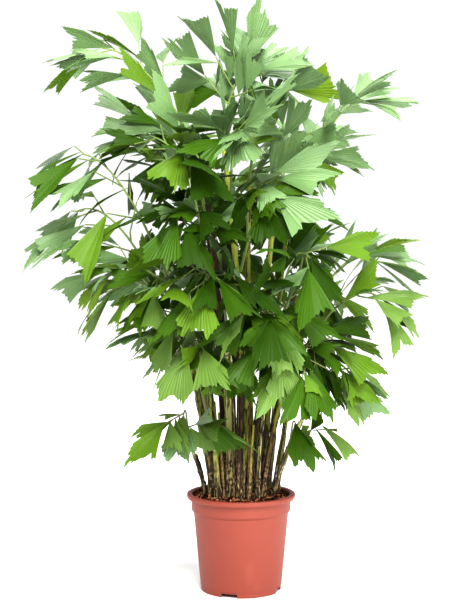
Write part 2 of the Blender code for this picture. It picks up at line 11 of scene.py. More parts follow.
import bmesh
import bpy
import numpy as np
from bpy.props import FloatProperty, FloatVectorProperty, IntProperty, PointerProperty
from mathutils import Matrix, Quaternion, Vector, noise
from mathutils.bvhtree import BVHTree


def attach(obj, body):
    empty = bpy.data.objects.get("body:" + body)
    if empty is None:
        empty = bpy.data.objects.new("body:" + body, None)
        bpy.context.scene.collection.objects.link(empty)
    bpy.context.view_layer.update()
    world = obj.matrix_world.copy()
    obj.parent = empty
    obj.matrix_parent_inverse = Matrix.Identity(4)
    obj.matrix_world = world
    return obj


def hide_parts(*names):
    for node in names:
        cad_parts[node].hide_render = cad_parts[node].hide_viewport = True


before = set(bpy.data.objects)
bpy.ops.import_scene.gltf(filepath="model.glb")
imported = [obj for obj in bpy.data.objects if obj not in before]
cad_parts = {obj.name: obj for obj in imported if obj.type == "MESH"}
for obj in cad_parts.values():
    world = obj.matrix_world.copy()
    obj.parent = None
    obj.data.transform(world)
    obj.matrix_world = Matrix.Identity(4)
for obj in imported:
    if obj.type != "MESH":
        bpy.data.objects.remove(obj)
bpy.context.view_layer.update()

bl_info = {
    "name": "Potted fishtail palm",
    "version": (1, 0, 0),
    "blender": (4, 5, 0),
    "location": "3D View > Sidebar > Palm",
    "description": "Grows a fishtail palm in its pot over the packed solids and lights it on a pale floor",
    "category": "Object",
}

# Axes, a full turn, a loose one for random directions, and the gap between neighbouring solids
EAST, NORTH, UP = Vector((1, 0, 0)), Vector((0, 1, 0)), Vector((0, 0, 1))
FULL_TURN = 2 * math.pi
ANY_TURN = 6.3
GAP = 0.0003

# Pot
POT_HEIGHT = 0.242
LIP_RADIUS = 0.135
LIP_HEIGHT = 0.013
LIP_ROLL = 0.005
BAND_RADIUS = 0.124
BAND_HEIGHT = 0.034
BAND_DRAFT = 0.0005
LEDGE = 0.006
FOOT_RADIUS = 0.1010
FOOT_HEIGHT = 0.013
FOOT_INSET = 0.0015
FOOT_RING = 0.006
PAD_RADIUS = 0.055
CHANNEL_HEIGHT = 0.010
WALL = 0.0025
NOTCH_WIDTH = 0.041
NOTCH_HEIGHT = 0.0095
NOTCH_ANGLES = [math.radians(252 + 90 * turn) for turn in range(4)]

# The bevels under the lip and at the mouth, their width and height, and the fillets from the band up
LIP_BEVEL = (0.0025, 0.004)
MOUTH_BEVEL = (0.002, 0.003)
BAND_FILLET, CREASE_FILLET = 0.002, 0.0006
LIP_FOOT_FILLET, LIP_SIDE_FILLET, LIP_TOP_FILLET = 0.0015, 0.003, LIP_ROLL * 1.25
MOUTH_FILLET = 0.002
FILLET_STEPS, FILLET_SHARE = 4, 0.45

# Soil
SOIL_TOP = 0.234
SOIL_CLEAR = 0.0004

# Canes: the rings' places along a cane are close together in the root flare and even above
CANE_SIDES = 7
CANE_RINGS = 4
CANE_SHARES = [0.0, 0.02, 0.06] + [0.06 + 0.94 * (ring + 1) / CANE_RINGS for ring in range(CANE_RINGS)]
CANE_STRAIGHT, CANE_RISE = 0.30, 0.22
CANE_TAPER = 0.8
FLARE = 1.35
FLARE_HEIGHT = 0.03

# Stalk and rachis: radii, how far a stalk leans out from a cane's tip and from its side, and how it arches
STALK_RADIUS = 0.0042
RACHIS_TIP_RADIUS = 0.0016
RACHIS_TAPER = 0.7
RACHIS_SIDES = 4
RACHIS_RINGS = 6
TIP_LEAN, SIDE_LEAN = 0.10, 0.32
RISE_SHARE, FALL_SHARE = 0.38, 0.36
LOOK_BACK = 0.02

# Bows that a rachis may take to keep its room, and the steps in which curves are measured
BOWS = (0, 0.02, -0.02, 0.04, -0.04, 0.06, -0.06, 0.09, -0.09, 0.12, -0.12)
TIP_BOW = 0.5
ENOUGH_ROOM = 0.006
WORTH_A_BOW = 0.001
LAID_RADIUS = 0.003
LINE_STEPS = 60
SEAT_ROUNDS, SEAT_STEPS = 4, 20

# Ribs: where they stand, how long they are, and how they spread, lift and droop
FIRST_RIB, LAST_RIB = 0.40, 0.93
RIB_SHIFT = 0.015
RIB_RADIUS, RIB_TIP_RADIUS = 0.0021, 0.0014
RIB_LENGTH = 0.080
RIB_LENGTHS = (0.85, 1.12)
RIB_FULL, RIB_LOSS, RIB_LOSS_CURVE = 1.12, 0.85, 1.6
RIB_SPREAD = math.radians(56)
RIB_OPEN, RIB_CLOSE = 1.05, 0.35
RIB_WOBBLE = 0.12
RIB_LIFTS = (-0.10, 0.28)
RIB_DROOP = 0.22
RIB_STEP = 0.01
RIB_ROOM_SIDES = 6

# Leaflets
LEAF_LENGTH = 0.140
LEAF_WIDTH = 0.64
OUTER_NARROWING = 0.42
FULL_REACH = 0.40
FAN_WIDTH = 0.84
FAN_LENGTH = 0.88
FAN_HANG = 0.6
FAN_FROM = 0.95
SPEAR_WIDTH = 0.13
LEAF_THICKNESS = 0.0022
PEAK_PLACE = 0.07
ROOT_STEP = 0.002
LEAF_SPREAD = math.radians(46)
LEAF_ROLL = 0.9
END_LENGTHS, END_WIDTHS, END_HANGS = (0.88, 1.1), (0.85, 1.25), (0.5, 1.3)
LEAF_TRIES = 9
LEAF_SHRINK = 0.05
ROOM = 0.0010
ROOM_THICKNESS = 0.6

# How a leaflet faces: along its frond's normal, up and outwards, and how a try at another place swings it
FACE_NORMAL, FACE_UP, FACE_OUT, FACE_HANG = 0.55, 0.35, 0.35, 0.5
SWING_HANG, SWING_ROLL = 0.12, 0.28

# A leaflet's outer edge from left to right, as shares of its width and length
SIDE_EDGE = [(-0.48, 0.70), (-0.02, 0.74), (0.44, 1.0), (0.45, 0.58)]
FAN_EDGE = [(-0.50, 0.72), (-0.26, 1.0), (0.02, 0.82), (0.34, 0.98), (0.50, 0.68)]

Cane = namedtuple("Cane", "foot top foot_radius tip_radius")
Frond = namedtuple("Frond", "cane level tip arch ribs leaf droop twist")
Rib = namedtuple("Rib", "start end normal")
Leaf = namedtuple("Leaf", "root ahead across normal length width skew")
Plan = namedtuple("Plan", "rib ends_rib root ahead normal length width skew hang roll")
Spot = namedtuple("Spot", "place side size")
Ranges = namedtuple("Ranges", "spread shift length width hang")
Grown = namedtuple("Grown", "corners ribs end_leaves leaves")

# The leaflet beside each rib's end: where it stands, and the ranges that its random draws come from
SIDE_SPOT = Spot(0.50, 1, 1.0)
SIDE_RANGES = Ranges((0.8, 1.3), (-0.08, 0.08), (0.75, 1.0), (0.8, 1.15), (0.5, 1.3))

# Each cane: where it stands on the soil, where it ends, and its radius at either end
CANES = [
    Cane((-0.022, -0.045), (-0.034, -0.045, 0.640), 0.0130, 0.0070),
    Cane((0.016, -0.055), (0.062, -0.062, 0.585), 0.0055, 0.0043),
    Cane((-0.056, -0.052), (-0.088, -0.072, 0.560), 0.0070, 0.0050),
    Cane((-0.068, -0.026), (-0.165, -0.030, 0.740), 0.0080, 0.0058),
    Cane((-0.088, -0.004), (-0.118, -0.022, 0.345), 0.0042, 0.0040),
    Cane((-0.012, -0.006), (-0.090, 0.004, 1.020), 0.0100, 0.0056),
    Cane((0.026, -0.012), (-0.045, 0.005, 1.120), 0.0098, 0.0055),
    Cane((0.052, -0.036), (0.112, -0.055, 0.540), 0.0062, 0.0048),
    Cane((0.080, -0.014), (0.150, -0.035, 0.430), 0.0056, 0.0045),
    Cane((0.068, 0.030), (0.135, 0.045, 0.740), 0.0072, 0.0050),
    Cane((0.040, 0.046), (0.080, 0.085, 0.920), 0.0085, 0.0053),
    Cane((0.054, 0.004), (0.115, 0.010, 0.900), 0.0078, 0.0050),
    Cane((0.002, 0.060), (-0.010, 0.125, 0.780), 0.0076, 0.0052),
    Cane((-0.034, 0.034), (-0.090, 0.070, 0.960), 0.0085, 0.0053),
    Cane((-0.066, 0.036), (-0.145, 0.075, 0.660), 0.0070, 0.0050),
    Cane((-0.040, 0.084), (-0.085, 0.150, 0.440), 0.0060, 0.0047),
    Cane((0.038, -0.074), (0.054, -0.100, 0.470), 0.0048, 0.0042),
    Cane((-0.006, -0.080), (0.004, -0.114, 0.560), 0.0054, 0.0044),
    Cane((0.090, 0.012), (0.152, 0.004, 0.640), 0.0062, 0.0048),
    Cane((0.012, 0.026), (0.020, 0.030, 1.020), 0.0085, 0.0053),
]

# Each frond: its cane, how far up the cane it leaves (1 is the tip), where its rachis ends, how far it
# arches over, its count of ribs, its leaflets' size against LEAF_LENGTH, how much they hang, and how many
# degrees the blade turns about its rachis. With no ribs it is a spear, a young frond that hasn't opened.
FRONDS = [
    Frond(6, 1.00, (0.01, 0.00, 1.28), 0.00, 7, 1.08, -0.05, 80),
    Frond(5, 1.00, (-0.34, 0.00, 1.34), 0.00, 7, 1.25, 0.45, -25),
    Frond(19, 1.00, (0.08, 0.02, 1.24), 0.02, 7, 1.05, -0.05, 70),
    Frond(13, 1.00, (-0.26, 0.06, 1.13), 0.02, 7, 1.05, 0.25, -60),
    Frond(11, 1.00, (0.29, -0.01, 1.21), -0.01, 7, 1.20, 0.35, 0),
    Frond(6, 0.62, (0.14, -0.05, 1.11), 0.02, 7, 1.10, 0.00, 50),
    Frond(3, 1.00, (-0.39, -0.03, 1.08), 0.00, 6, 1.40, 1.15, -25),
    Frond(3, 0.88, (-0.41, 0.02, 0.94), 0.05, 6, 1.30, 0.60, -30),
    Frond(3, 0.72, (-0.31, -0.10, 0.80), 0.05, 6, 1.12, 0.60, -30),
    Frond(2, 1.00, (-0.31, -0.11, 0.75), 0.08, 6, 1.15, 0.75, -15),
    Frond(2, 0.84, (-0.21, -0.18, 0.77), 0.07, 5, 1.10, 0.90, -10),
    Frond(2, 0.62, (-0.16, -0.17, 0.67), 0.06, 5, 1.05, 0.95, 0),
    Frond(0, 0.62, (-0.13, -0.22, 0.62), 0.06, 4, 1.15, 1.00, 0),
    Frond(4, 1.00, (-0.14, -0.10, 0.45), 0.04, 2, 1.00, 0.90, -20),
    Frond(0, 1.00, (-0.09, -0.27, 0.77), 0.09, 6, 1.12, 0.70, -10),
    Frond(17, 1.00, (0.08, -0.22, 0.68), 0.08, 5, 1.10, 0.95, 0),
    Frond(7, 1.00, (0.18, -0.12, 0.60), 0.06, 6, 1.12, 0.70, 10),
    Frond(18, 0.86, (0.34, -0.04, 0.73), 0.05, 6, 1.15, 0.25, 25),
    Frond(18, 1.00, (0.33, 0.00, 0.82), 0.05, 6, 1.12, 0.15, 0),
    Frond(8, 1.00, (0.25, -0.09, 0.54), 0.07, 5, 1.08, 0.90, 0),
    Frond(8, 0.42, (0.13, -0.09, 0.43), 0.02, 1, 1.05, 1.00, 0),
    Frond(1, 1.00, (0.16, -0.20, 0.57), 0.06, 4, 1.08, 1.05, 0),
    Frond(16, 1.00, (0.09, -0.21, 0.61), 0.06, 3, 1.05, 1.05, 0),
    Frond(5, 0.78, (-0.14, -0.20, 1.08), 0.05, 7, 1.12, 0.15, -50),
    Frond(6, 0.78, (-0.01, -0.20, 1.12), 0.06, 7, 1.10, 0.00, 35),
    Frond(19, 0.80, (0.05, -0.20, 0.97), 0.08, 7, 1.12, 0.35, 30),
    Frond(6, 0.48, (-0.15, -0.24, 0.92), 0.09, 7, 1.12, 0.45, -25),
    Frond(1, 0.80, (0.16, -0.18, 0.83), 0.08, 6, 1.10, 0.45, 15),
    Frond(13, 0.80, (-0.18, 0.22, 1.10), 0.06, 7, 1.08, 0.35, 20),
    Frond(12, 1.00, (0.00, 0.32, 0.97), 0.08, 7, 1.10, 0.45, 0),
    Frond(10, 0.80, (0.11, 0.28, 0.90), 0.08, 6, 1.10, 0.55, 0),
    Frond(10, 1.00, (0.17, 0.20, 1.10), 0.04, 7, 1.05, 0.30, 20),
    Frond(14, 0.80, (-0.23, 0.26, 0.80), 0.08, 7, 1.08, 0.75, 0),
    Frond(12, 0.72, (-0.10, 0.34, 0.83), 0.08, 7, 1.12, 0.60, 0),
    Frond(9, 0.60, (0.21, 0.26, 0.73), 0.08, 6, 1.05, 0.90, 0),
    Frond(15, 1.00, (-0.12, 0.27, 0.60), 0.08, 6, 1.05, 0.95, 0),
    Frond(9, 1.00, (0.17, 0.04, 0.86), 0.00, 0, 0.85, -0.60, 0),
    Frond(11, 0.66, (0.20, -0.01, 0.83), 0.00, 0, 0.70, -0.60, 0),
]

# Finer blades: columns of a blade, how far out its rows lie, and its thickness
VEINS = 27
BLADE_ROWS = (0.015, 0.12, 0.28, 0.46, 0.65, 0.83, 1.0)
BLADE_THICKNESS = 0.0006

# A blade's pleats, its wave, its cup and its bow: ranges of size, and how fast they grow outwards
PLEAT_HEIGHTS, PLEAT_GROWTH = (0.3, 1.5), 0.7
WAVE_HEIGHTS, WAVE_COUNTS, WAVE_GROWTH = (0.015, 0.050), (2.0, 4.5), 1.5
CUPS, CUP_LEVEL = (-0.16, 0.08), 0.4
BOWS_DOWN, LEAST_BOW = (0.3, 1.5), 0.05

# A margin's teeth and the dips between them, against the set depth, and its broad steps and its splits
TEETH, DIPS = (0.2, 1.0), (-0.3, 0.2)
STEP_COUNTS, STEP_DEPTHS, STEP_SPREADS = (2, 3, 3, 4), (0.05, 0.15), (0.3, 0.9)
SPLIT_SHARE, SPLIT_DEPTHS = 0.45, (0.20, 0.38)
STEP_CLEAR, SPLIT_CLEAR = 3, 5
DRAWN_TIP = -0.02

# Finer leaflets: where on a rib, on which side of it, and their size against the source's. Fronds that
# reach far out have none, high ones have few, and those at the back have more.
FINER_SPOTS = [Spot(0.80, -1, 0.92), Spot(0.28, 1, 0.86), Spot(0.46, -1, 0.88)]
FINER_SPOTS += [Spot(0.12, -1, 0.72), Spot(0.66, 1, 0.74)]
BACK_SPOTS = [Spot(0.92, 1, 0.84), Spot(0.55, 1, 0.80), Spot(0.35, -1, 0.76)]
FINER_RANGES = Ranges((0.75, 1.35), (-0.06, 0.06), (0.8, 1.05), (0.9, 1.25), (0.5, 1.4))
OPEN_REACH, OPEN_HEIGHT, OPEN_COUNT = 0.28, 1.18, 3
BACK_REACH = 0.14

# The crown's core of painted shade, where its leaflets are darkest: the heights that it spans, its place
# and its lean.
# Above, below and beside it a leaflet is painted lighter: at most by so much, and by so much for each
# metre.
SHADE_CORE_HEIGHTS = (0.62, 1.00)
SHADE_CORE_FOOT, SHADE_CORE_LEAN, SHADE_CORE_RISE, SHADE_CORE_WIDTH = 0.08, 0.65, 0.40, 0.09
SHADE_CORE_LIFTS = ((0.5, 1.5), (0.18, 0.8), (0.6, 2.4))
# Below this height the painted light beside the core is scaled by this share; the share of its length at
# which a leaflet's place is judged
FOOT_LEAVES, FOOT_FADE = 0.42, 0.6
TINT_PLACE = 0.6

# How light a leaflet is painted: the least, the play between sprays and between leaflets, and the brightest
# ones
LEAST_LIGHT = 0.10
SPRAY_PLAY, SPRAY_LIGHT, LEAF_LIGHT = 0.6, 0.14, 0.23
# A share of stray leaflets is painted at least this light, wherever it stands
STRAY_SHARE, STRAY_LIGHT = 0.12, 0.7
BRIGHT, LIME_SHARE, HIGH_LIME_SHARE = 0.86, 0.35, 0.05
# Heights above which leaflets take the cool tints, and the brightest the pale one, as a painted sky sheen,
# and above which the crown's top tints apply
COOL_HEIGHT, PALE_HEIGHT, CROWN_HEIGHT = 0.76, 0.85, 1.08
LIGHT_STEPS = 5
LOW_TINTS = ("deep", "dark", "middle", "fresh")
HIGH_TINTS = ("deep", "dark", "middle", "cool")
CROWN_TINTS = ("dark", "middle", "cool", "cool")

# How glossy each tint is
GLOSS = {"deep": 0.0, "dark": 0.1, "middle": 0.15, "fresh": 0.3, "cool": 0.35, "pale": 0.5, "lime": 0.2}

# Angles in degrees above which an edge stays sharp
POT_SHARP, CANE_SHARP, TUBE_SHARP, BLADE_SHARP, ALL_SHARP = 35, 60, 50, 20, 0

# Finer stalks and canes
STALK_SIDES, STALK_RINGS = 10, 26
STALK_FOOT_COLOUR = (0.15, 0.13, 0.045)
RIB_SIDES, RIB_RINGS, RIB_FOOT = 6, 5, 1.2
BARK_SIDES = 26
BARK_STEP = 0.006
STEM_SINK = 0.004
SHEATH_START = (0.03, 0.08)
SHEATH_GAP = (0.055, 0.10)
SHEATH_SWELL = 0.13
SHEATH_FADE = 0.035

# Ripples of noise: their size, waves round the cane, and waves along it
TORN_EDGE = (0.012, 2.5, 20)
BROAD_FIBRES = (0.055, 6, 5)
THIN_FIBRES = (0.03, 17, 14)
HUSK_BUMPS = (0.16, 2, 3)

# Loose sheath fibres: where along a cane they start, their length, and how they stand off it
FIBRE_RADIUS = 0.0005
FIBRE_WIDTHS, FIBRE_TIP = (0.8, 1.9), 0.4
FIBRE_STARTS, FIBRE_SPAN, FIBRE_END = (0.02, 0.75), 0.5, 0.98
FIBRE_LENGTHS = (0.03, 0.11)
FIBRE_LOOSE, FIBRE_OFF, FIBRE_SWING = 0.006, 1.10, 0.25
FIBRE_POINTS, FIBRE_SIDES = 6, 4

# Torn husks round the canes' feet: height, how far they stand off the cane, lowest tear and flare
HUSK_SIDES, HUSK_RINGS = 18, 7
HUSK_HEIGHT = (0.025, 0.085)
HUSK_SWELL = (1.15, 1.55)
HUSK_TEAR, HUSK_FLARE = 0.25, 0.15
HUSK_WALL, HUSK_SINK = 0.10, 0.006
HUSK_LEVEL = 0.1
FRONT_HUSK = (0.105, 1.18, 0.80, 0.45)

# Rough brown bark at a cane's foot: its colour, and the heights between which it ends
FOOT_COLOUR = (0.33, 0.205, 0.11)
FOOT_BARK = (0.35, 0.48)

# Young stems between a cane and one of its neighbours
YOUNG_RADIUS = (0.0016, 0.0034)
YOUNG_SIDES, YOUNG_RINGS = 8, 24
YOUNG_PLACES, YOUNG_TOPS, YOUNG_SHIFT = (0.35, 0.65), (0.45, 0.95), 0.004
YOUNG_FOOT, YOUNG_TAPER = 1.15, 0.45
NEIGHBOURS = 4

# Soil bed: its rings, depth and crown, and its lumps, each with waves per metre, layer of noise and height
BED_ROUNDS, BED_SIDES = 22, 72
BED_DEPTH = 0.010
BED_LIFT, BED_CROWN = 0.001, 0.003
BED_LUMPS = ((28, 0.0, 0.0035), (90, 4.0, 0.0018))

# Bark chips on the soil: their sizes, tilt, how their corners are knocked, and where they lie
CHIP_SIZES = ((0.005, 0.017), (0.003, 0.008), (0.0015, 0.004))
CHIP_PITCH, CHIP_TILT = 0.45, 0.40
CHIP_KNOCKS = (0.6, 1.1)
CHIP_CORNERS = [(x, y, z) for z in (-1, 1) for x, y in ((-1, -1), (1, -1), (1, 1), (-1, 1))]
CHIP_MARGIN, CHIP_LIFT = 0.011, (-0.0005, 0.0045)
CHIP_SHARES = [0.36, 0.44, 0.20]

# Coir on the soil: where it lies, its length and radius, and how it curls and pitches at each step
COIR_MARGIN, COIR_LIFT, COIR_CLEAR = 0.02, (0.003, 0.006), 0.003
COIR_LENGTHS, COIR_RADII = (0.008, 0.026), (0.0003, 0.0007)
COIR_CURL, COIR_PITCH = 0.5, 0.18

# Grain of the finishes: waves per metre along X, Y and Z, and how fine the detail in them is
GRAINS = {
    "clouds": (9, 9, 5, 3),
    "dust": (26, 26, 12, 6),
    "moulding": (900, 900, 900, 3),
    "pores": (420, 420, 160, 5),
    "bark": (260, 260, 14, 4),
    "sheaths": (90, 90, 22, 6),
    "hairs": (900, 900, 40, 3),
    "foot line": (30, 30, 12, 3),
    "foot flecks": (170, 170, 110, 5),
    "husk flecks": (190, 190, 90, 5),
    "husk fibres": (420, 420, 30, 3),
    "stalk": (300, 300, 60, 3),
    "stalk line": (12, 12, 6, 3),
    "leaf patches": (16, 16, 16, 4),
    "leaf grain": (420, 420, 420, 2),
    "plain": (500, 500, 500, 3),
}

# How far a finish's layers show, the dust's colour, the noise above which old sheaths cover a cane, and how
# ragged the line above a cane's foot and the one on a stalk are
DUST_COVER, SHEATH_COVER, FOOT_COVER = 0.05, 0.85, 0.92
FLECK_COVER, FIBRE_COVER, STREAK_COVER = 0.75, 0.6, 0.5
DUST_COLOUR = (0.60, 0.28, 0.20)
SHEATH_EDGE, SHEATH_REACH = (0.60, 0.68), 0.30
FOOT_PLAY, STALK_PLAY = 0.16, 0.25

# Sockets of the colour mix: its share, its two colours and its result
MIX_SHARE, MIX_FIRST, MIX_SECOND, MIX_RESULT = 0, 6, 7, 2

# Stage: the camera, the floor, and each light's name, place, aim, width and share of the set power
VIEW_FROM = (-0.040, -3.5, 0.92)
VIEW_AT = (-0.040, 0.0, 0.7224)
SENSOR_WIDTH, FARTHEST_VIEW = 36, 200
FLOOR_RADIUS, FLOOR_SIDES, FLOOR_DROP = 30.0, 96, 0.0005
LIGHTS = [
    ("key light", (0.5, -3.9, 4.5), (0, 0, 0.8), 2.6, 2.0),
    ("fill light", (2.6, -2.6, 1.6), (0, 0, 0.7), 1.8, 0.4),
    ("top light", (0.3, 0.2, 5.2), (0, 0, 0.9), 2.6, 1.3),
]

BODY = "root"
FROND_NODES = [f"frond_{number + 1:02d}" for number in range(len(FRONDS))]
CANE_NODES = [f"cane_{number + 1:02d}" for number in range(len(CANES))]


def add_object(name, data):
    """Puts a new object with this mesh, light or camera in the scene."""
    thing = bpy.data.objects.new(name, data)
    bpy.context.scene.collection.objects.link(thing)
    return thing


def add_shape(name, shape, finish=None):
    """Turns a shape that is under construction into an object."""
    mesh = bpy.data.meshes.new(name)
    shape.to_mesh(mesh)
    shape.free()
    if finish:
        mesh.materials.append(finish)
    return add_object(name, mesh)


def smooth(thing, angle):
    """Smooth shading that keeps the edges sharper than this angle."""
    thing.data.shade_smooth()
    thing.data.set_sharp_from_angle(angle=math.radians(angle))


def hand_over(thing, nodes):
    """The piece rides on the plant's one body and stands for its nodes."""
    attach(thing, BODY)
    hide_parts(*nodes)


def even(count):
    """Shares from 0 to 1 in even steps."""
    return [step / (count - 1) for step in range(count)]


def between(first, last, share):
    return first + (last - first) * share


def bezier(corners, share):
    """A point of the curve that has these corners."""
    while len(corners) > 1:
        corners = [a.lerp(b, share) for a, b in zip(corners, corners[1:])]
    return corners[0]


def polar(turn, radius=1.0, height=0.0):
    """The point at this angle about the Z axis."""
    return Vector((radius * math.cos(turn), radius * math.sin(turn), height))


def flat(vector):
    """The level direction of a vector."""
    return Vector((vector.x, vector.y, 0)).normalized()


def ring_faces(rings, sides, closed=False):
    """The quads between neighbouring rings of points, and back to the first ring if closed."""
    faces = []
    for ring in range(rings if closed else rings - 1):
        low, high = ring * sides, (ring + 1) % rings * sides
        for side in range(sides):
            after = (side + 1) % sides
            faces.append((low + side, low + after, high + after, high + side))
    return faces


def tube(path, radii, sides, facing):
    """A tapering closed tube along a path. A corner of each ring lies towards facing."""
    points = []
    for index, (centre, radius) in enumerate(zip(path, radii)):
        ahead = path[min(index + 1, len(path) - 1)] - path[max(index - 1, 0)]
        ahead.normalize()
        first = (facing - ahead * facing.dot(ahead)).normalized()
        second = ahead.cross(first)
        for side in range(sides):
            turn = FULL_TURN * side / sides
            points.append(centre + (first * math.cos(turn) + second * math.sin(turn)) * radius)
    last = (len(path) - 1) * sides
    caps = [tuple(reversed(range(sides))), tuple(range(last, last + sides))]
    return points, ring_faces(len(path), sides) + caps


def lathe(name, profile, sides, finish):
    """Turns an outline of (radius, height) points, which runs anticlockwise, about the Z axis."""
    shape = bmesh.new()
    rings = []
    for radius, height in profile:
        turns = [FULL_TURN * side / sides for side in range(sides)] if radius else [0.0]
        rings.append([shape.verts.new(polar(turn, radius, height)) for turn in turns])
    for lower, upper in zip(rings, rings[1:] + rings[:1]):
        for side in range(sides):
            after = (side + 1) % sides
            corners = [lower[side % len(lower)], lower[after % len(lower)]]
            corners += [upper[after % len(upper)], upper[side % len(upper)]]
            corners = list(dict.fromkeys(corners))
            if len(corners) > 2:
                shape.faces.new(corners)
    return add_shape(name, shape, finish)


def add_cutter(name, size, centre, turn):
    """A box that is only there to be cut away."""
    shape = bmesh.new()
    bmesh.ops.create_cube(shape, size=1, matrix=Matrix.Diagonal((*size, 1)))
    cutter = add_shape(name, shape)
    cutter.location = centre
    cutter.rotation_euler = (0, 0, turn)
    return cutter


def keep_result(thing):
    """Puts what the object's modifiers make into its own mesh."""
    graph = bpy.context.evaluated_depsgraph_get()
    made = bpy.data.meshes.new_from_object(thing.evaluated_get(graph))
    thing.modifiers.clear()
    thing.data = made


def cane_corners(cane):
    """A cane rises almost straight from the soil and leans out further up."""
    foot = Vector((*cane.foot, SOIL_TOP + GAP))
    top = Vector(cane.top)
    return [foot, foot + (top - foot) * CANE_STRAIGHT + UP * CANE_RISE * (top.z - foot.z), top]


def cane_radius(cane, share):
    height = share * (cane.top[2] - SOIL_TOP)
    flare = 1 + (FLARE - 1) * max(0.0, 1 - height / FLARE_HEIGHT) ** 2
    return between(cane.foot_radius, cane.tip_radius, share**CANE_TAPER) * flare


def cane_tube(cane, shares, sides):
    """The centres of a cane's rings at these shares of its length, and the cane."""
    path = [bezier(cane_corners(cane), share) for share in shares]
    return path, tube(path, [cane_radius(cane, share) for share in shares], sides, EAST)


def cane_mesh(cane):
    """A cane as in the solids: it tapers, flares at its root, and is cut flat at the soil."""
    points, faces = cane_tube(cane, CANE_SHARES, CANE_SIDES)[1]
    for point in points[:CANE_SIDES]:
        point.z = SOIL_TOP + GAP
    return points, faces


def cane_end(cane):
    """The direction that the cut at a cane's tip faces."""
    below, top = (bezier(cane_corners(cane), share) for share in CANE_SHARES[-2:])
    return (top - below).normalized()


def rachis_corners(frond, bow):
    """A frond's stalk goes up beside its cane, swings outwards and arches over to its tip."""
    cane = CANES[frond.cane]
    corners = cane_corners(cane)
    tip = Vector(frond.tip)
    along = (bezier(corners, frond.level) - bezier(corners, frond.level - LOOK_BACK)).normalized()
    if frond.level >= 1:
        start = corners[-1] + cane_end(cane) * GAP
    else:
        hold = bezier(corners, frond.level)
        out = flat(tip - hold)
        out = (out - along * out.dot(along)).normalized()
        start = hold + out * (cane_radius(cane, frond.level) + STALK_RADIUS + GAP)
    out = flat(tip - start)
    side = out.cross(UP)
    leave = (along + out * (TIP_LEAN if frond.level >= 1 else SIDE_LEAN)).normalized()
    rise = start + leave * (tip - start).length * RISE_SHARE + side * bow
    fall = tip - out * (tip - start).xy.length * FALL_SHARE + UP * frond.arch + side * bow * TIP_BOW
    return [start, rise, fall, tip]


def rachis_tube(corners, rings, sides):
    """The centres of the rings along a frond's stalk and rachis, and the two in one tube."""
    path = [bezier(corners, share) for share in even(rings)]
    radii = [between(STALK_RADIUS, RACHIS_TIP_RADIUS, share**RACHIS_TAPER) for share in even(rings)]
    return path, tube(path, radii, sides, flat(path[-1] - path[0]).cross(UP))


def rachis_mesh(number, corners):
    """A stalk and rachis as in the solids. One that stands on its cane's tip is cut to fit it."""
    frond = FRONDS[number]
    path, (points, faces) = rachis_tube(corners, RACHIS_RINGS, RACHIS_SIDES)
    if frond.level >= 1:
        cut = cane_end(CANES[frond.cane])
        ahead = (path[1] - path[0]).normalized()
        for index in range(RACHIS_SIDES):
            points[index] += ahead * ((path[0] - points[index]).dot(cut) / ahead.dot(cut))
    return points, faces


def seated(number, corners):
    """The curve of a stalk that leaves a cane's side, moved in until the stalk lies a hair off the cane."""
    cane = CANES[FRONDS[number].cane]
    bark = BVHTree.FromPolygons(*cane_mesh(cane))
    inwards = flat(bezier(cane_corners(cane), FRONDS[number].level) - corners[0])
    for _ in range(SEAT_ROUNDS):
        points = rachis_mesh(number, corners)[0]
        edges = zip(points[:RACHIS_SIDES], points[RACHIS_SIDES : 2 * RACHIS_SIDES])
        steps = range(SEAT_STEPS // 2 + 1)
        along = [low.lerp(high, step / SEAT_STEPS) for low, high in edges for step in steps]
        gap = min(bark.find_nearest(point)[3] for point in along)
        corners = [corners[0] + inwards * (gap - GAP)] + corners[1:]
    return corners


def on_rachis(corners, share):
    """A point on the rachis as built, which runs straight from ring to ring."""
    place = share * (RACHIS_RINGS - 1)
    ring = min(int(place), RACHIS_RINGS - 2)
    below, above = (bezier(corners, (ring + step) / (RACHIS_RINGS - 1)) for step in (0, 1))
    return below.lerp(above, place - ring)


def line(corners):
    return np.array([tuple(bezier(corners, step / LINE_STEPS)) for step in range(LINE_STEPS + 1)])


def least_room(path, radius, others):
    """The least room between a path and the lines already laid, each a list of points with a radius."""
    gaps = [np.linalg.norm(path[:, None] - points, axis=2).min() - radius - own for points, own in others]
    return min(gaps)


def lay_rachises():
    """Each frond's curve. One that would pass too near a cane or another frond bows to one side."""
    lines = [(line(cane_corners(cane)), cane.foot_radius) for cane in CANES]
    laid = []
    for frond in FRONDS:
        others = [other for number, other in enumerate(lines) if number != frond.cane]
        best = None
        for bow in BOWS:
            corners = rachis_corners(frond, bow)
            room = least_room(line(corners), STALK_RADIUS, others)
            if best is None or room > best[0] + WORTH_A_BOW:
                best = (room, corners)
            if room > ENOUGH_ROOM:
                break
        laid.append(best[1] if frond.level >= 1 else seated(len(laid), best[1]))
        lines.append((line(laid[-1]), LAID_RADIUS))
    return laid


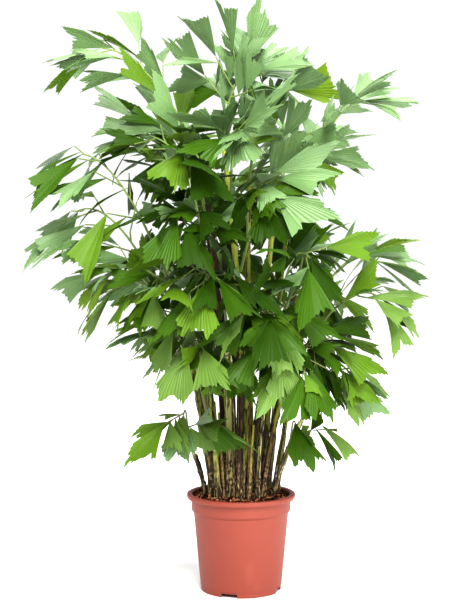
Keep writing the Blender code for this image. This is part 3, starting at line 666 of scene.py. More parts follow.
def lay_ribs(number, corners):
    """The ribs of one frond, alternating left and right of its rachis, longest below the middle."""
    frond = FRONDS[number]
    draw = Random(f"ribs {number}")
    ribs = []
    for index in range(frond.ribs):
        share = FIRST_RIB + (LAST_RIB - FIRST_RIB) * index / max(1, frond.ribs - 1)
        share += draw.uniform(-RIB_SHIFT, RIB_SHIFT)
        root = on_rachis(corners, share)
        ahead = (bezier(corners, share + RIB_STEP) - bezier(corners, share - RIB_STEP)).normalized()
        turned = Quaternion(ahead, math.radians(frond.twist))
        across = turned @ ahead.cross(UP).normalized() * (1 if index % 2 else -1)
        normal = turned @ ahead.cross(UP).cross(ahead).normalized()
        spread = RIB_SPREAD * (RIB_OPEN - RIB_CLOSE * share) + draw.uniform(-RIB_WOBBLE, RIB_WOBBLE)
        aim = ahead * math.cos(spread) + across * math.sin(spread) + normal * draw.uniform(*RIB_LIFTS)
        aim = (aim - UP * RIB_DROOP * max(0, frond.droop)).normalized()
        size = RIB_LENGTH * frond.leaf * (RIB_FULL - RIB_LOSS * (index / frond.ribs) ** RIB_LOSS_CURVE)
        ribs.append(Rib(root, root + aim * size * draw.uniform(*RIB_LENGTHS), normal))
    return ribs


def rib_room(rib, grow=0.0):
    """The space that a rib needs, whichever way its corners face."""
    radii = [RIB_RADIUS + grow, RIB_TIP_RADIUS + grow]
    return tube([rib.start, rib.end], radii, RIB_ROOM_SIDES, rib.normal)


def slimness(frond):
    """How wide a frond's leaflets are: narrow on one that reaches far out."""
    return 1 - OUTER_NARROWING * min(1, Vector(frond.tip).xy.length / FULL_REACH) ** 2


def side_plan(frond, index, rib, spot, turn, ranges, draw):
    """The leaflet that leaves a rib sideways at a spot. None for a rib that had no room."""
    spread = turn * LEAF_SPREAD * draw.uniform(*ranges.spread)
    place = spot.place + draw.uniform(*ranges.shift)
    length = LEAF_LENGTH * frond.leaf * spot.size * draw.uniform(*ranges.length)
    width = LEAF_WIDTH * slimness(frond) * draw.uniform(*ranges.width)
    hang = frond.droop * draw.uniform(*ranges.hang)
    roll = draw.uniform(-LEAF_ROLL, LEAF_ROLL)
    if not rib:
        return None
    aim = Quaternion(rib.normal, spread) @ (rib.end - rib.start).normalized()
    root = rib.start.lerp(rib.end, place)
    return Plan(index, False, root, aim, rib.normal, length, width, -turn, hang, roll)


def leaf_plans(number, corners, ribs):
    """The leaflets that a frond wants, from its tip down to its first rib."""
    frond = FRONDS[number]
    draw = Random(f"leaves {number}")
    full, slim = LEAF_LENGTH * frond.leaf, slimness(frond)
    tip = corners[-1]
    ahead = (tip - bezier(corners, FAN_FROM)).normalized()
    normal = Quaternion(ahead, math.radians(frond.twist)) @ ahead.cross(UP).cross(ahead).normalized()
    width, length = (FAN_WIDTH * slim**0.5, FAN_LENGTH * full) if frond.ribs else (SPEAR_WIDTH, full)
    root, hang = tip - ahead * ROOT_STEP, FAN_HANG * frond.droop
    plans = [Plan(None, False, root, ahead, normal, length, width, 0, hang, 0.0)]
    for index in reversed(range(len(ribs))):
        rib = ribs[index]
        side = 1 if index % 2 else -1
        width = LEAF_WIDTH * slim * draw.uniform(*END_WIDTHS)
        hang = frond.droop * draw.uniform(*END_HANGS)
        roll = draw.uniform(-LEAF_ROLL, LEAF_ROLL)
        length = full * draw.uniform(*END_LENGTHS)
        aim = (rib.end - rib.start).normalized()
        plans.append(Plan(index, True, rib.end, aim, rib.normal, length, width, side, hang, roll))
        plans.append(side_plan(frond, index, rib, SIDE_SPOT, side, SIDE_RANGES, draw))
    return plans


def finer_spots(tip):
    """Where a frond's ribs carry finer leaflets. Few stand high up, so that the sky shows between them."""
    spots = [] if abs(tip[0]) > OPEN_REACH else FINER_SPOTS
    if tip[2] > OPEN_HEIGHT:
        spots = spots[:OPEN_COUNT]
    return spots + (BACK_SPOTS if tip[1] > BACK_REACH else [])


def finer_plans(number, ribs):
    """More leaflets along each rib, between and opposite those of the source's rule."""
    frond = FRONDS[number]
    draw = Random(f"finer {number}")
    plans = []
    for index, rib in enumerate(ribs):
        for spot in finer_spots(frond.tip):
            turn = spot.side if index % 2 else -spot.side
            plans.append(side_plan(frond, index, rib, spot, turn, FINER_RANGES, draw))
    return [plan for plan in plans if plan]


def leaf_at(plan, swing, small):
    """A leaflet leaves its rib, sags by hang, and turns its face up and outwards."""
    outward = flat(plan.root + Vector((0, 1e-4, 0)))
    hang = plan.hang - SWING_HANG * swing
    ahead = (plan.ahead - UP * hang).normalized()
    face = plan.normal * FACE_NORMAL + UP * FACE_UP + outward * (FACE_OUT + FACE_HANG * max(0.0, hang))
    face = (face - ahead * face.dot(ahead)).normalized()
    face = Quaternion(ahead, plan.roll + SWING_ROLL * swing) @ face
    return Leaf(plan.root, ahead, ahead.cross(face), face, plan.length * small, plan.width, plan.skew)


def leaf_edge(leaf, grow=0.0):
    """The points of a leaflet's outer edge."""
    edge = FAN_EDGE if leaf.skew == 0 else SIDE_EDGE
    if leaf.skew < 0:
        edge = [(-x, y) for x, y in reversed(edge)]
    wide, long = leaf.width * leaf.length + 2 * grow, leaf.length + grow
    return [leaf.root + leaf.across * x * wide + leaf.ahead * y * long for x, y in edge]


def leaf_mesh(leaf):
    """A leaflet as in the solids: a thin wedge, a fan from its peak above and from its notch below."""
    edge = leaf_edge(leaf)
    peak = leaf.root + leaf.ahead * PEAK_PLACE * leaf.length + leaf.normal * LEAF_THICKNESS
    far = [(point - leaf.root).length for point in edge]
    root, top, first, last = 0, 1, 2, len(edge) + 1
    notch = first + far.index(min(far[1:-1]))
    faces = [(top, index + 1, index) for index in range(first, last)]
    faces += [(top, first, root), (top, root, last)]
    around = [*range(first, last + 1), root]
    for index, after in zip(around, around[1:] + around[:1]):
        if notch not in (index, after):
            faces.append((notch, index, after))
    return [leaf.root, peak] + edge, faces


def leaf_room(leaf):
    """The space that a leaflet needs: its outline as a slab, a little larger all round."""
    start, beside = leaf.root + leaf.ahead * ROOT_STEP, leaf.across * (RIB_TIP_RADIUS + ROOM / 2)
    outline = [start - beside, *leaf_edge(leaf, ROOM), start + beside]
    points = [p - leaf.normal * ROOM for p in outline]
    points += [p + leaf.normal * (ROOM + LEAF_THICKNESS * ROOM_THICKNESS) for p in outline]
    count = len(outline)
    faces = [tuple(range(count)), tuple(reversed(range(count, 2 * count)))]
    faces += [(i, i + count, (i + 1) % count + count, (i + 1) % count) for i in range(count)]
    return points, faces


class Taken:
    """The space that pieces already fill, each piece with its owner's name."""

    def __init__(self):
        self.lows, self.highs, self.trees, self.owners = [], [], [], []

    def add(self, shape, owner):
        points, faces = shape
        where = np.array([tuple(p) for p in points])
        self.lows.append(where.min(0))
        self.highs.append(where.max(0))
        self.trees.append(BVHTree.FromPolygons(points, faces))
        self.owners.append(owner)

    def meets(self, shape, spared):
        points, faces = shape
        where = np.array([tuple(p) for p in points])
        near = (np.array(self.lows) < where.max(0)).all(1) & (np.array(self.highs) > where.min(0)).all(1)
        tree = BVHTree.FromPolygons(points, faces)
        return any(tree.overlap(self.trees[i]) for i in np.flatnonzero(near) if self.owners[i] != spared)


def fit_leaf(plan, taken, spared):
    """The leaflet as planned or, where something is in its way, rolled, lifted and smaller, or None."""
    for attempt in range(LEAF_TRIES):
        swing = (attempt + 1) // 2 * (1 if attempt % 2 else -1)
        leaf = leaf_at(plan, swing, 1.0 - LEAF_SHRINK * attempt)
        if not taken.meets(leaf_room(leaf), spared):
            return leaf
    return None


def keep_ribs(rachises, taken):
    """Each frond's ribs, with None for one that has no room."""
    kept = []
    for number, corners in enumerate(rachises):
        ribs = []
        for index, rib in enumerate(lay_ribs(number, corners)):
            fits = not taken.meets(rib_room(rib, ROOM), f"rachis {number}")
            if fits:
                taken.add(rib_room(rib), f"rib {number} {index}")
            ribs.append(rib if fits else None)
        kept.append(ribs)
    return kept


def grow_leaves(plans, grown, taken):
    """Grows each frond's first leaflet, then each one's second and so on, each clear of the rest."""
    for rank in range(max(map(len, plans))):
        for number, wanted in enumerate(plans):
            if rank >= len(wanted):
                continue
            plan = wanted[rank]
            holder = f"rachis {number}" if plan.rib is None else f"rib {number} {plan.rib}"
            leaf = fit_leaf(plan, taken, holder)
            if leaf:
                taken.add(leaf_mesh(leaf), f"leaf {number}")
                frond = grown[number]
                (frond.end_leaves if plan.ends_rib else frond.leaves).append(leaf)


def grow_fronds():
    """Every frond with its curve, ribs and leaflets, those of the source first and then the finer ones."""
    taken = Taken()
    for number, cane in enumerate(CANES):
        taken.add(cane_mesh(cane), f"cane {number}")
    rachises = lay_rachises()
    for number, corners in enumerate(rachises):
        taken.add(rachis_mesh(number, corners), f"rachis {number}")
    ribs = keep_ribs(rachises, taken)
    plans = []
    for number, corners in enumerate(rachises):
        wanted = leaf_plans(number, corners, lay_ribs(number, corners))
        plans.append([plan for plan in wanted if plan.rib is None or ribs[number][plan.rib]])
    grown = [Grown(corners, ribs[number], [], []) for number, corners in enumerate(rachises)]
    grow_leaves(plans, grown, taken)
    grow_leaves([finer_plans(number, frond.ribs) for number, frond in enumerate(grown)], grown, taken)
    return grown


def colour_property(name, description, default):
    return FloatVectorProperty(
        name=name, description=description, subtype="COLOR", size=3, min=0, max=1, default=default
    )


def number_property(name, description, default, **more):
    return FloatProperty(name=name, description=description, default=default, min=0, **more)


def share_property(name, description, default, top=1.0):
    return number_property(name, description, default, max=top, subtype="FACTOR")


def count_property(name, description, default, least=0):
    return IntProperty(name=name, description=description, default=default, min=least)


class PotSettings(bpy.types.PropertyGroup):
    """Sizes and colour of the nursery pot."""

    colour: colour_property("Plastic colour", "Colour of the moulded plastic", (0.225, 0.038, 0.019))
    roughness: share_property("Roughness", "How dull the plastic is", 0.54)
    fillet: number_property("Edge fillet", "Radius of the pot's edges", 0.0012, unit="LENGTH", precision=4)
    sides: count_property("Sides", "Faces round the pot", 128, 24)


class SoilSettings(bpy.types.PropertyGroup):
    """The bark and coir on top of the pot."""

    # The darkest bark colour, of the soil bed and a share of the chips, is damp bark darkened further as
    # painted shade between the chips
    dark: colour_property("Damp bark", "Colour of the darkest chips", (0.005, 0.002, 0.001))
    middle: colour_property("Bark", "Colour of most chips", (0.058, 0.016, 0.006))
    light: colour_property("Dry bark", "Colour of the driest chips", (0.40, 0.160, 0.068))
    coir: colour_property("Coir", "Colour of the loose fibres", (0.38, 0.20, 0.10))
    chips: count_property("Chips", "How many bark chips lie on the soil", 1500)
    fibres: count_property("Coir fibres", "How many loose fibres lie on the soil", 170)


class CaneSettings(bpy.types.PropertyGroup):
    """The clump's canes and the fibres that wrap them."""

    tan: colour_property("Tan bark", "Colour of the thick canes", (0.76, 0.67, 0.27))
    brown: colour_property("Brown bark", "Colour of the canes that old sheaths wrap", (0.098, 0.057, 0.017))
    olive: colour_property("Olive bark", "Colour of the older green canes", (0.210, 0.222, 0.030))
    green: colour_property("Green bark", "Colour of the young canes", (0.370, 0.410, 0.070))
    fibre: colour_property("Sheath fibre", "Colour of the dark fibres", (0.020, 0.011, 0.006))
    husk: colour_property("Husk", "Colour of the torn husks round the canes' feet", (0.045, 0.022, 0.012))
    fibres: count_property("Fibres per cane", "Loose sheath fibres on each cane", 42)
    young: count_property("Young stems", "Thin stems between the canes", 34)


class FrondSettings(bpy.types.PropertyGroup):
    """The leaflets, their shape and greens."""

    pleat: share_property("Pleat depth", "Depth of a pleat against the leaflet's length", 0.007, 0.1)
    tooth: share_property("Tooth depth", "Depth of the teeth against the leaflet's length", 0.06, 0.5)
    bend: number_property("Bend", "How far a level leaflet bows down", 0.55, unit="ROTATION")
    roughness: share_property("Roughness", "How dull the leaflets are", 0.42)
    coat: share_property("Gloss", "How much of the sky the leaflets reflect", 0.25)
    # Each tint is partly a leaflet's own green and partly painted light: deep and dark are painted shade in
    # the crown's core, fresh is painted light low down, cool and pale are a painted sky sheen high up, and
    # lime is painted light through the brightest leaflets
    deep: colour_property("Deep green", "Colour of the shaded leaflets", (0.018, 0.049, 0.001))
    dark: colour_property("Dark green", "Colour of the older leaflets", (0.036, 0.090, 0.002))
    middle: colour_property("Middle green", "Colour of most leaflets", (0.080, 0.154, 0.008))
    fresh: colour_property("Fresh green", "Colour of the younger leaflets low down", (0.110, 0.192, 0.034))
    cool: colour_property("Cool green", "Colour of the younger leaflets high up", (0.122, 0.206, 0.076))
    pale: colour_property("Pale green", "Colour of the leaflets that catch the sky", (0.150, 0.240, 0.102))
    lime: colour_property("Yellow green", "Colour of the youngest leaflets", (0.128, 0.210, 0.015))
    stalk: colour_property("Stalk green", "Colour of the stalks and ribs", (0.200, 0.290, 0.060))


class StageSettings(bpy.types.PropertyGroup):
    """Floor, light and camera."""

    floor: colour_property("Floor", "Colour of the floor", (0.98, 0.98, 0.98))
    sky: number_property("Sky", "Strength of the light from all round", 1.04)
    key: number_property("Key light", "Power of the large light", 240, unit="POWER")
    gamma: number_property("Gamma", "Below 1, the shade inside the crown is deeper", 0.84)
    lens: number_property("Lens", "Focal length", 85, unit="CAMERA")


class Value:
    """A shader socket that works in a Python expression."""

    def __init__(self, finish, socket):
        self.finish = finish
        self.socket = socket

    def maths(self, operation, *values):
        return self.finish.node("ShaderNodeMath", {"operation": operation}, dict(enumerate(values)))

    def __add__(self, other):
        return self.maths("ADD", self, other)

    def __sub__(self, other):
        return self.maths("SUBTRACT", self, other)

    def __rsub__(self, other):
        return self.maths("SUBTRACT", other, self)

    def __mul__(self, other):
        return self.maths("MULTIPLY", self, other)

    __radd__ = __add__
    __rmul__ = __mul__


class Finish:
    """A material with one Principled shader, and one method that makes any other node."""

    def __init__(self, name):
        self.material = bpy.data.materials.new(name)
        self.material.use_nodes = True
        self.tree = self.material.node_tree
        self.shader = self.tree.nodes["Principled BSDF"]

    def node(self, kind, settings=None, inputs=None, output=0):
        made = self.tree.nodes.new(kind)
        for name, value in (settings or {}).items():
            setattr(made, name, value)
        for name, value in (inputs or {}).items():
            self.put(made.inputs[name], value)
        return Value(self, made.outputs[output])

    def put(self, socket, value):
        if isinstance(value, Value):
            self.tree.links.new(value.socket, socket)
        else:
            socket.default_value = value

    def shade(self, **inputs):
        for name, value in inputs.items():
            self.put(self.shader.inputs[name.replace("_", " ")], value)
        return self.material

    def place(self, scale=(1, 1, 1)):
        """A point of the object, stretched by scale."""
        where = self.node("ShaderNodeTexCoord", output="Object")
        return self.node("ShaderNodeMapping", None, {"Vector": where, "Scale": scale})

    def height(self):
        return self.node("ShaderNodeSeparateXYZ", None, {0: self.place()}, "Z")

    def grain(self, kind):
        """Noise from 0 to 1 over the object."""
        *scale, detail = GRAINS[kind]
        inputs = {"Vector": self.place(scale), "Scale": 1.0, "Detail": detail}
        return self.node("ShaderNodeTexNoise", None, inputs)

    def blend(self, share, first, second):
        """One colour where share is 0 and the other where it is 1."""
        inputs = {MIX_SHARE: share, MIX_FIRST: first, MIX_SECOND: second}
        return self.node("ShaderNodeMix", {"data_type": "RGBA"}, inputs, MIX_RESULT)

    def vary(self, share, colour, low, high):
        """A colour, from low to high times as bright."""
        return self.blend(share, solid(colour, low), solid(colour, high))

    def step(self, value, low, high):
        """0 below low, 1 above high."""
        inputs = {"Value": value, "From Min": low, "From Max": high}
        return self.node("ShaderNodeMapRange", {"interpolation_type": "SMOOTHSTEP"}, inputs)

    def relief(self, height, depth):
        return self.node("ShaderNodeBump", None, {"Height": height, "Distance": depth, "Strength": 1.0})


def solid(colour, share=1.0):
    """A colour with its alpha, darkened or lightened by share."""
    return (*[min(1.0, part * share) for part in colour], 1)


def plastic_finish(settings):
    """Satin moulded plastic: faint clouds of colour, fine grain and a few dull patches."""
    finish = Finish("terracotta plastic")
    cloud = finish.grain("clouds")
    dust = finish.step(finish.grain("dust"), low=0.55, high=0.78)
    tone = finish.vary(cloud, settings.colour, low=0.93, high=1.06)
    tone = finish.blend(dust * DUST_COVER, tone, solid(DUST_COLOUR))
    rough = settings.roughness + cloud * 0.05 + dust * 0.04
    relief = finish.relief(finish.grain("moulding"), depth=0.00006)
    return finish.shade(Base_Color=tone, Roughness=rough, Normal=relief)


def bark_chip_finish(name, colour):
    """Rough bark, darker in its pores."""
    finish = Finish(name)
    pores = finish.grain("pores")
    tone = finish.vary(pores, colour, low=0.55, high=1.5)
    finish.shade(Roughness=0.92, Specular_IOR_Level=0.1)
    return finish.shade(Base_Color=tone, Normal=finish.relief(pores, depth=0.0006))


def cane_finish(name, colour, dark, cover):
    """Ringed, fibrous bark: lengthwise streaks, and dark sheath remains over a share of it."""
    finish = Finish(name)
    streaks = finish.grain("bark")
    hairs = finish.grain("hairs")
    remains = finish.step(finish.grain("sheaths"), *[edge - cover * SHEATH_REACH for edge in SHEATH_EDGE])
    flecks = finish.step(finish.grain("foot flecks"), low=0.42, high=0.60)
    foot = 1 - finish.step(finish.height() + finish.grain("foot line") * FOOT_PLAY, *FOOT_BARK)
    tone = finish.vary(streaks, colour, low=0.50, high=1.55)
    tone = finish.blend(remains * SHEATH_COVER, tone, solid(dark, share=1.6))
    husky = finish.blend(flecks, solid(dark, share=1.8), solid(FOOT_COLOUR))
    tone = finish.blend(foot * FOOT_COVER, tone, husky)
    relief = finish.relief(streaks + hairs * 0.4 + remains * 0.8 + flecks * foot, depth=0.0007)
    finish.shade(Specular_IOR_Level=0.15)
    return finish.shade(Base_Color=tone, Roughness=0.52 + remains * 0.30, Normal=relief)


def husk_finish(settings):
    """Torn sheath: dark fibre, with flecks of the dry tan skin left on it."""
    finish = Finish("torn husk")
    flecks = finish.step(finish.grain("husk flecks"), low=0.50, high=0.62)
    streaks = finish.grain("husk fibres")
    tone = finish.blend(flecks * FLECK_COVER, solid(settings.husk), solid(settings.tan, share=0.8))
    tone = finish.blend(streaks * FIBRE_COVER, tone, solid(settings.fibre))
    finish.shade(Roughness=0.85, Specular_IOR_Level=0.2)
    return finish.shade(Base_Color=tone, Normal=finish.relief(flecks + streaks, depth=0.0015))


def stalk_finish(name, colour):
    """Stalks are brownish olive low down and green above, with fine lengthwise streaks."""
    finish = Finish(name)
    streaks = finish.grain("stalk")
    height = finish.height() + finish.grain("stalk line") * STALK_PLAY
    up = finish.step(height, low=0.55, high=1.05)
    tone = finish.blend(up, solid(STALK_FOOT_COLOUR), solid(colour))
    tone = finish.blend(streaks * STREAK_COVER, tone, solid(colour, share=0.5))
    return finish.shade(Base_Color=tone, Roughness=0.45, Normal=finish.relief(streaks, depth=0.0003))


def blade_finish(name, colour, gloss, settings):
    """Semi-gloss leaf: a plain green, a little lighter and duller in soft patches."""
    finish = Finish(name)
    patch = finish.grain("leaf patches")
    tone = finish.vary(patch, colour, low=0.80, high=1.25)
    rough = settings.roughness - 0.06 + patch * 0.14
    relief = finish.relief(finish.grain("leaf grain"), depth=0.00010)
    finish.shade(Coat_Weight=settings.coat * gloss, Coat_Roughness=0.30)
    finish.shade(Specular_IOR_Level=0.08 + 0.4 * gloss)
    return finish.shade(Base_Color=tone, Roughness=rough, Normal=relief)


def plain_finish(name, colour):
    finish = Finish(name)
    tone = finish.vary(finish.grain("plain"), colour, low=0.7, high=1.3)
    return finish.shade(Base_Color=tone, Roughness=0.8)


class Sheaf:
    """Many shapes gathered into one mesh."""

    def __init__(self, shapes=()):
        self.points, self.faces, self.count = [], [], 0
        for shape in shapes:
            self.add(*shape)

    def add(self, points, faces):
        self.points.append(np.array(points))
        self.faces.extend(tuple(corner + self.count for corner in face) for face in faces)
        self.count += len(points)

    def piece(self, name, finish, slot, nodes, angle=TUBE_SHARP):
        """Makes the object, smooth but for its sharp edges, and hands it to the frame."""
        mesh = bpy.data.meshes.new(name)
        mesh.from_pydata(np.concatenate(self.points).tolist(), [], self.faces)
        mesh.materials.append(finish)
        thing = add_object(name, mesh)
        if angle:
            smooth(thing, angle)
        hand_over(thing, nodes)


def rounded(corners, fillet):
    """A closed outline with its corners rounded. A corner's third number, if any, is its own fillet."""
    outline = []
    for index, corner in enumerate(corners):
        here = Vector(corner[:2])
        before = Vector(corners[index - 1][:2]) - here
        after = Vector(corners[(index + 1) % len(corners)][:2]) - here
        if here.x == 0:
            outline.append(tuple(here))
            continue
        size = corner[2] if len(corner) > 2 else fillet
        size = min(size, before.length * FILLET_SHARE, after.length * FILLET_SHARE)
        start, end = here + before.normalized() * size, here + after.normalized() * size
        outline += [tuple(bezier([start, here, end], share)) for share in even(FILLET_STEPS + 1)]
    return outline


def pot_section(fillet):
    """The pot's section: pad, channel and foot, then wall, band and rolled lip, then the inside."""
    under_lip = POT_HEIGHT - LIP_HEIGHT
    shoulder = under_lip - BAND_HEIGHT
    wall_top = BAND_RADIUS - LEDGE
    mouth = BAND_RADIUS - WALL
    foot_outside = FOOT_RADIUS - FOOT_INSET
    foot_inside = foot_outside - FOOT_RING
    corners = [
        (0, 0),
        (PAD_RADIUS, 0),
        (PAD_RADIUS, CHANNEL_HEIGHT),
        (foot_inside, CHANNEL_HEIGHT),
        (foot_inside, 0),
        (foot_outside, 0),
        (foot_outside, FOOT_HEIGHT),
        (FOOT_RADIUS, FOOT_HEIGHT),
        (wall_top, shoulder),
        (BAND_RADIUS - BAND_DRAFT, shoulder + LEDGE, BAND_FILLET),
        (BAND_RADIUS, under_lip, CREASE_FILLET),
        (LIP_RADIUS - LIP_BEVEL[0], under_lip, LIP_FOOT_FILLET),
        (LIP_RADIUS, under_lip + LIP_BEVEL[1], LIP_SIDE_FILLET),
        (LIP_RADIUS, POT_HEIGHT, LIP_TOP_FILLET),
        (mouth + MOUTH_BEVEL[0], POT_HEIGHT, MOUTH_FILLET),
        (mouth, POT_HEIGHT - MOUTH_BEVEL[1], MOUTH_FILLET),
        (mouth - BAND_DRAFT, shoulder + LEDGE),
        (wall_top - WALL, shoulder),
        (FOOT_RADIUS - WALL, CHANNEL_HEIGHT + WALL),
        (0, CHANNEL_HEIGHT + WALL),
    ]
    return rounded(corners, fillet)


def build_pot(settings):
    """The pot, with a drain notch at each quarter of its foot ring."""
    pot = lathe("nursery_pot", pot_section(settings.fillet), settings.sides, plastic_finish(settings))
    size = (3 * FOOT_RING, NOTCH_WIDTH, 2 * NOTCH_HEIGHT)
    cutters = []
    for number, turn in enumerate(NOTCH_ANGLES):
        name = f"drain notch {number}"
        cutters.append(add_cutter(name, size, polar(turn, FOOT_RADIUS - FOOT_RING / 2), turn))
        cut = pot.modifiers.new(name, "BOOLEAN")
        cut.operation = "DIFFERENCE"
        cut.object = cutters[-1]
    keep_result(pot)
    for cutter in cutters:
        bpy.data.objects.remove(cutter, do_unlink=True)
    smooth(pot, POT_SHARP)
    hand_over(pot, ["pot"])


def bed_height(x, y):
    """The uneven top of the soil."""
    lumps = sum(noise.noise((x * waves, y * waves, layer)) * height for waves, layer, height in BED_LUMPS)
    crown = BED_CROWN * (1 - (x * x + y * y) / BAND_RADIUS**2)
    return SOIL_TOP + BED_LIFT + crown + lumps


def build_bed(settings):
    """The soil's top, an uneven disc that fills the pot from wall to wall, with a skirt under its rim."""
    edge = BAND_RADIUS - WALL - BAND_DRAFT - SOIL_CLEAR
    points = [Vector((0, 0, bed_height(0, 0)))]
    for ring in range(1, BED_ROUNDS + 1):
        for side in range(BED_SIDES):
            spot = polar(FULL_TURN * side / BED_SIDES, edge * ring / BED_ROUNDS)
            points.append(Vector((spot.x, spot.y, bed_height(spot.x, spot.y))))
    points += [Vector((rim.x, rim.y, SOIL_TOP - BED_DEPTH)) for rim in points[-BED_SIDES:]]
    faces = [(0, 1 + side, 1 + (side + 1) % BED_SIDES) for side in range(BED_SIDES)]
    for inner, inner_after, outer_after, outer in ring_faces(BED_ROUNDS + 1, BED_SIDES):
        faces.append((1 + inner, 1 + outer, 1 + outer_after, 1 + inner_after))
    faces.append(tuple(reversed(range(len(points) - BED_SIDES, len(points)))))
    # The bed shows between the chips in the darkest bark colour: damp peat, and painted shade between them
    finish = bark_chip_finish("damp peat", settings.dark)
    Sheaf([(points, faces)]).piece("soil_bed", finish, "soil", ["soil"])


def chip(draw, centre):
    """A splinter of bark: a box with its corners knocked about."""
    size = [draw.uniform(*sizes) / 2 for sizes in CHIP_SIZES]
    turn = Quaternion(UP, draw.uniform(0, ANY_TURN)) @ Quaternion(EAST, draw.gauss(0, CHIP_PITCH))
    turn = turn @ Quaternion(NORTH, draw.gauss(0, CHIP_TILT))
    points = []
    for corner in CHIP_CORNERS:
        spot = [side * half * draw.uniform(*CHIP_KNOCKS) for side, half in zip(corner, size)]
        points.append(centre + turn @ Vector(spot))
    return points, [(3, 2, 1, 0), (4, 5, 6, 7), *ring_faces(2, 4)]


def soil_spot(draw, margin, lift):
    """A random place just over the soil, even over its area and clear of the pot's wall."""
    reach = (BAND_RADIUS - WALL - margin) * math.sqrt(draw.random())
    spot = polar(draw.uniform(0, FULL_TURN), reach)
    spot.z = bed_height(spot.x, spot.y) + draw.uniform(*lift)
    return spot


def build_chips(settings):
    """Bark chips in three tones."""
    draw = Random("chips")
    # The darkest tone is damp bark and painted shade between the chips
    tones = [("damp", settings.dark), ("brown", settings.middle), ("dry", settings.light)]
    sheaves = [Sheaf() for _ in tones]
    for _ in range(settings.chips):
        spot = soil_spot(draw, CHIP_MARGIN, CHIP_LIFT)
        sheaf = draw.choices(sheaves, CHIP_SHARES)[0]
        sheaf.add(*chip(draw, spot))
    for (name, colour), sheaf in zip(tones, sheaves):
        finish = bark_chip_finish(f"{name} bark", colour)
        sheaf.piece(f"bark_chips_{name}", finish, "soil", ["soil"], ALL_SHARP)


def coir(draw, count):
    """Loose coir fibres that lie curled on the chips and end at the pot's wall."""
    for _ in range(count):
        place = soil_spot(draw, COIR_MARGIN, COIR_LIFT)
        turn = draw.uniform(0, FULL_TURN)
        length = draw.uniform(*COIR_LENGTHS)
        path = []
        for _ in range(FIBRE_POINTS):
            path.append(place.copy())
            turn += draw.gauss(0, COIR_CURL)
            place += polar(turn, height=draw.gauss(0, COIR_PITCH)) * length / (FIBRE_POINTS - 1)
            if place.xy.length > BAND_RADIUS - WALL - COIR_CLEAR:
                break
        if len(path) > 2:
            radius = draw.uniform(*COIR_RADII)
            yield tube(path, [radius] * (len(path) - 1) + [radius * FIBRE_TIP], FIBRE_SIDES, UP)


def build_soil(settings):
    build_bed(settings)
    build_chips(settings)
    finish = plain_finish("coir", settings.coir)
    Sheaf(coir(Random("coir"), settings.fibres)).piece("coir_fibres", finish, "soil", ["soil"])


def ripple(wave, turn, height, seed):
    """Noise over a cane's bark, with the size and the waves of a ripple."""
    size, around, along = wave
    return size * noise.noise((math.cos(turn) * around, math.sin(turn) * around, seed + height * along))


def sheath_edges(number, cane):
    """The heights at which a cane's old leaf sheaths end."""
    draw = Random(f"sheaths {number}")
    heights = [SOIL_TOP + draw.uniform(*SHEATH_START)]
    while heights[-1] < cane.top[2]:
        heights.append(heights[-1] + draw.uniform(*SHEATH_GAP))
    return heights


def bark_relief(number, height, turn, edges):
    """How much a cane swells at a point: sheaths that end in a torn edge, and lengthwise fibres."""
    seed = 10.0 * number
    torn = height + ripple(TORN_EDGE, turn, height, seed)
    above = [edge - torn for edge in edges if edge > torn]
    sheath = SHEATH_SWELL * math.exp(-min(above) / SHEATH_FADE) if above else 0.0
    return 1 + sheath + sum(ripple(wave, turn, height, seed) for wave in (BROAD_FIBRES, THIN_FIBRES))


def bark_mesh(number, cane):
    """A cane with the relief of its bark, cut flat a little under the soil."""
    rings = int((cane.top[2] - SOIL_TOP) / BARK_STEP) + 1
    path, (points, faces) = cane_tube(cane, even(rings), BARK_SIDES)
    edges = sheath_edges(number, cane)
    for index, point in enumerate(points):
        ring, side = divmod(index, BARK_SIDES)
        swell = bark_relief(number, path[ring].z, FULL_TURN * side / BARK_SIDES, edges)
        points[index] = path[ring] + (point - path[ring]) * swell
    for point in points[:BARK_SIDES]:
        point.z = SOIL_TOP - STEM_SINK
    return points, faces


def cane_fibres(number, cane, count):
    """Dark fibres that an old sheath leaves along its cane, some of them loose."""
    draw = Random(f"fibres {number}")
    corners = cane_corners(cane)
    length = cane.top[2] - SOIL_TOP
    for _ in range(count):
        low = draw.uniform(*FIBRE_STARTS) * min(length, FIBRE_SPAN) / length
        high = min(FIBRE_END, low + draw.uniform(*FIBRE_LENGTHS) / length)
        turn = draw.uniform(0, FULL_TURN)
        loose = draw.uniform(0.0, FIBRE_LOOSE)
        path = []
        for step, along in enumerate(even(FIBRE_POINTS)):
            share = between(low, high, along)
            off = cane_radius(cane, share) * FIBRE_OFF + loose * along**2
            path.append(bezier(corners, share) + polar(turn + FIBRE_SWING * math.sin(step + turn), off))
        radii = [FIBRE_RADIUS * draw.uniform(*FIBRE_WIDTHS)] * (FIBRE_POINTS - 1)
        yield tube(path, [*radii, FIBRE_RADIUS * FIBRE_TIP], FIBRE_SIDES, EAST)


def husk(number, cane):
    """The torn husk round a cane's foot: an open sleeve with a ragged rim, stout on the front cane."""
    draw = Random(f"husk {number}")
    corners = cane_corners(cane)
    length = cane.top[2] - SOIL_TOP
    height, swell = draw.uniform(*HUSK_HEIGHT), draw.uniform(*HUSK_SWELL)
    torn, flare = HUSK_TEAR, HUSK_FLARE
    if number == 0:
        height, swell, torn, flare = FRONT_HUSK
    rims = [height * draw.uniform(torn, 1.0) for _ in range(HUSK_SIDES)]
    rise = even(HUSK_RINGS)
    points = []
    for wall, rings in ((swell, rise), (swell - HUSK_WALL, reversed(rise))):
        for up in rings:
            for side, rim in enumerate(rims):
                turn = FULL_TURN * side / HUSK_SIDES
                bump = ripple(HUSK_BUMPS, turn, up, 9.0 * number)
                off = cane_radius(cane, HUSK_LEVEL) * (wall + flare * (1 - up) + bump)
                sunk = bezier(corners, rim * up / length) - UP * HUSK_SINK * (1 - up)
                points.append(sunk + polar(turn, off))
    return points, ring_faces(2 * HUSK_RINGS, HUSK_SIDES, closed=True)


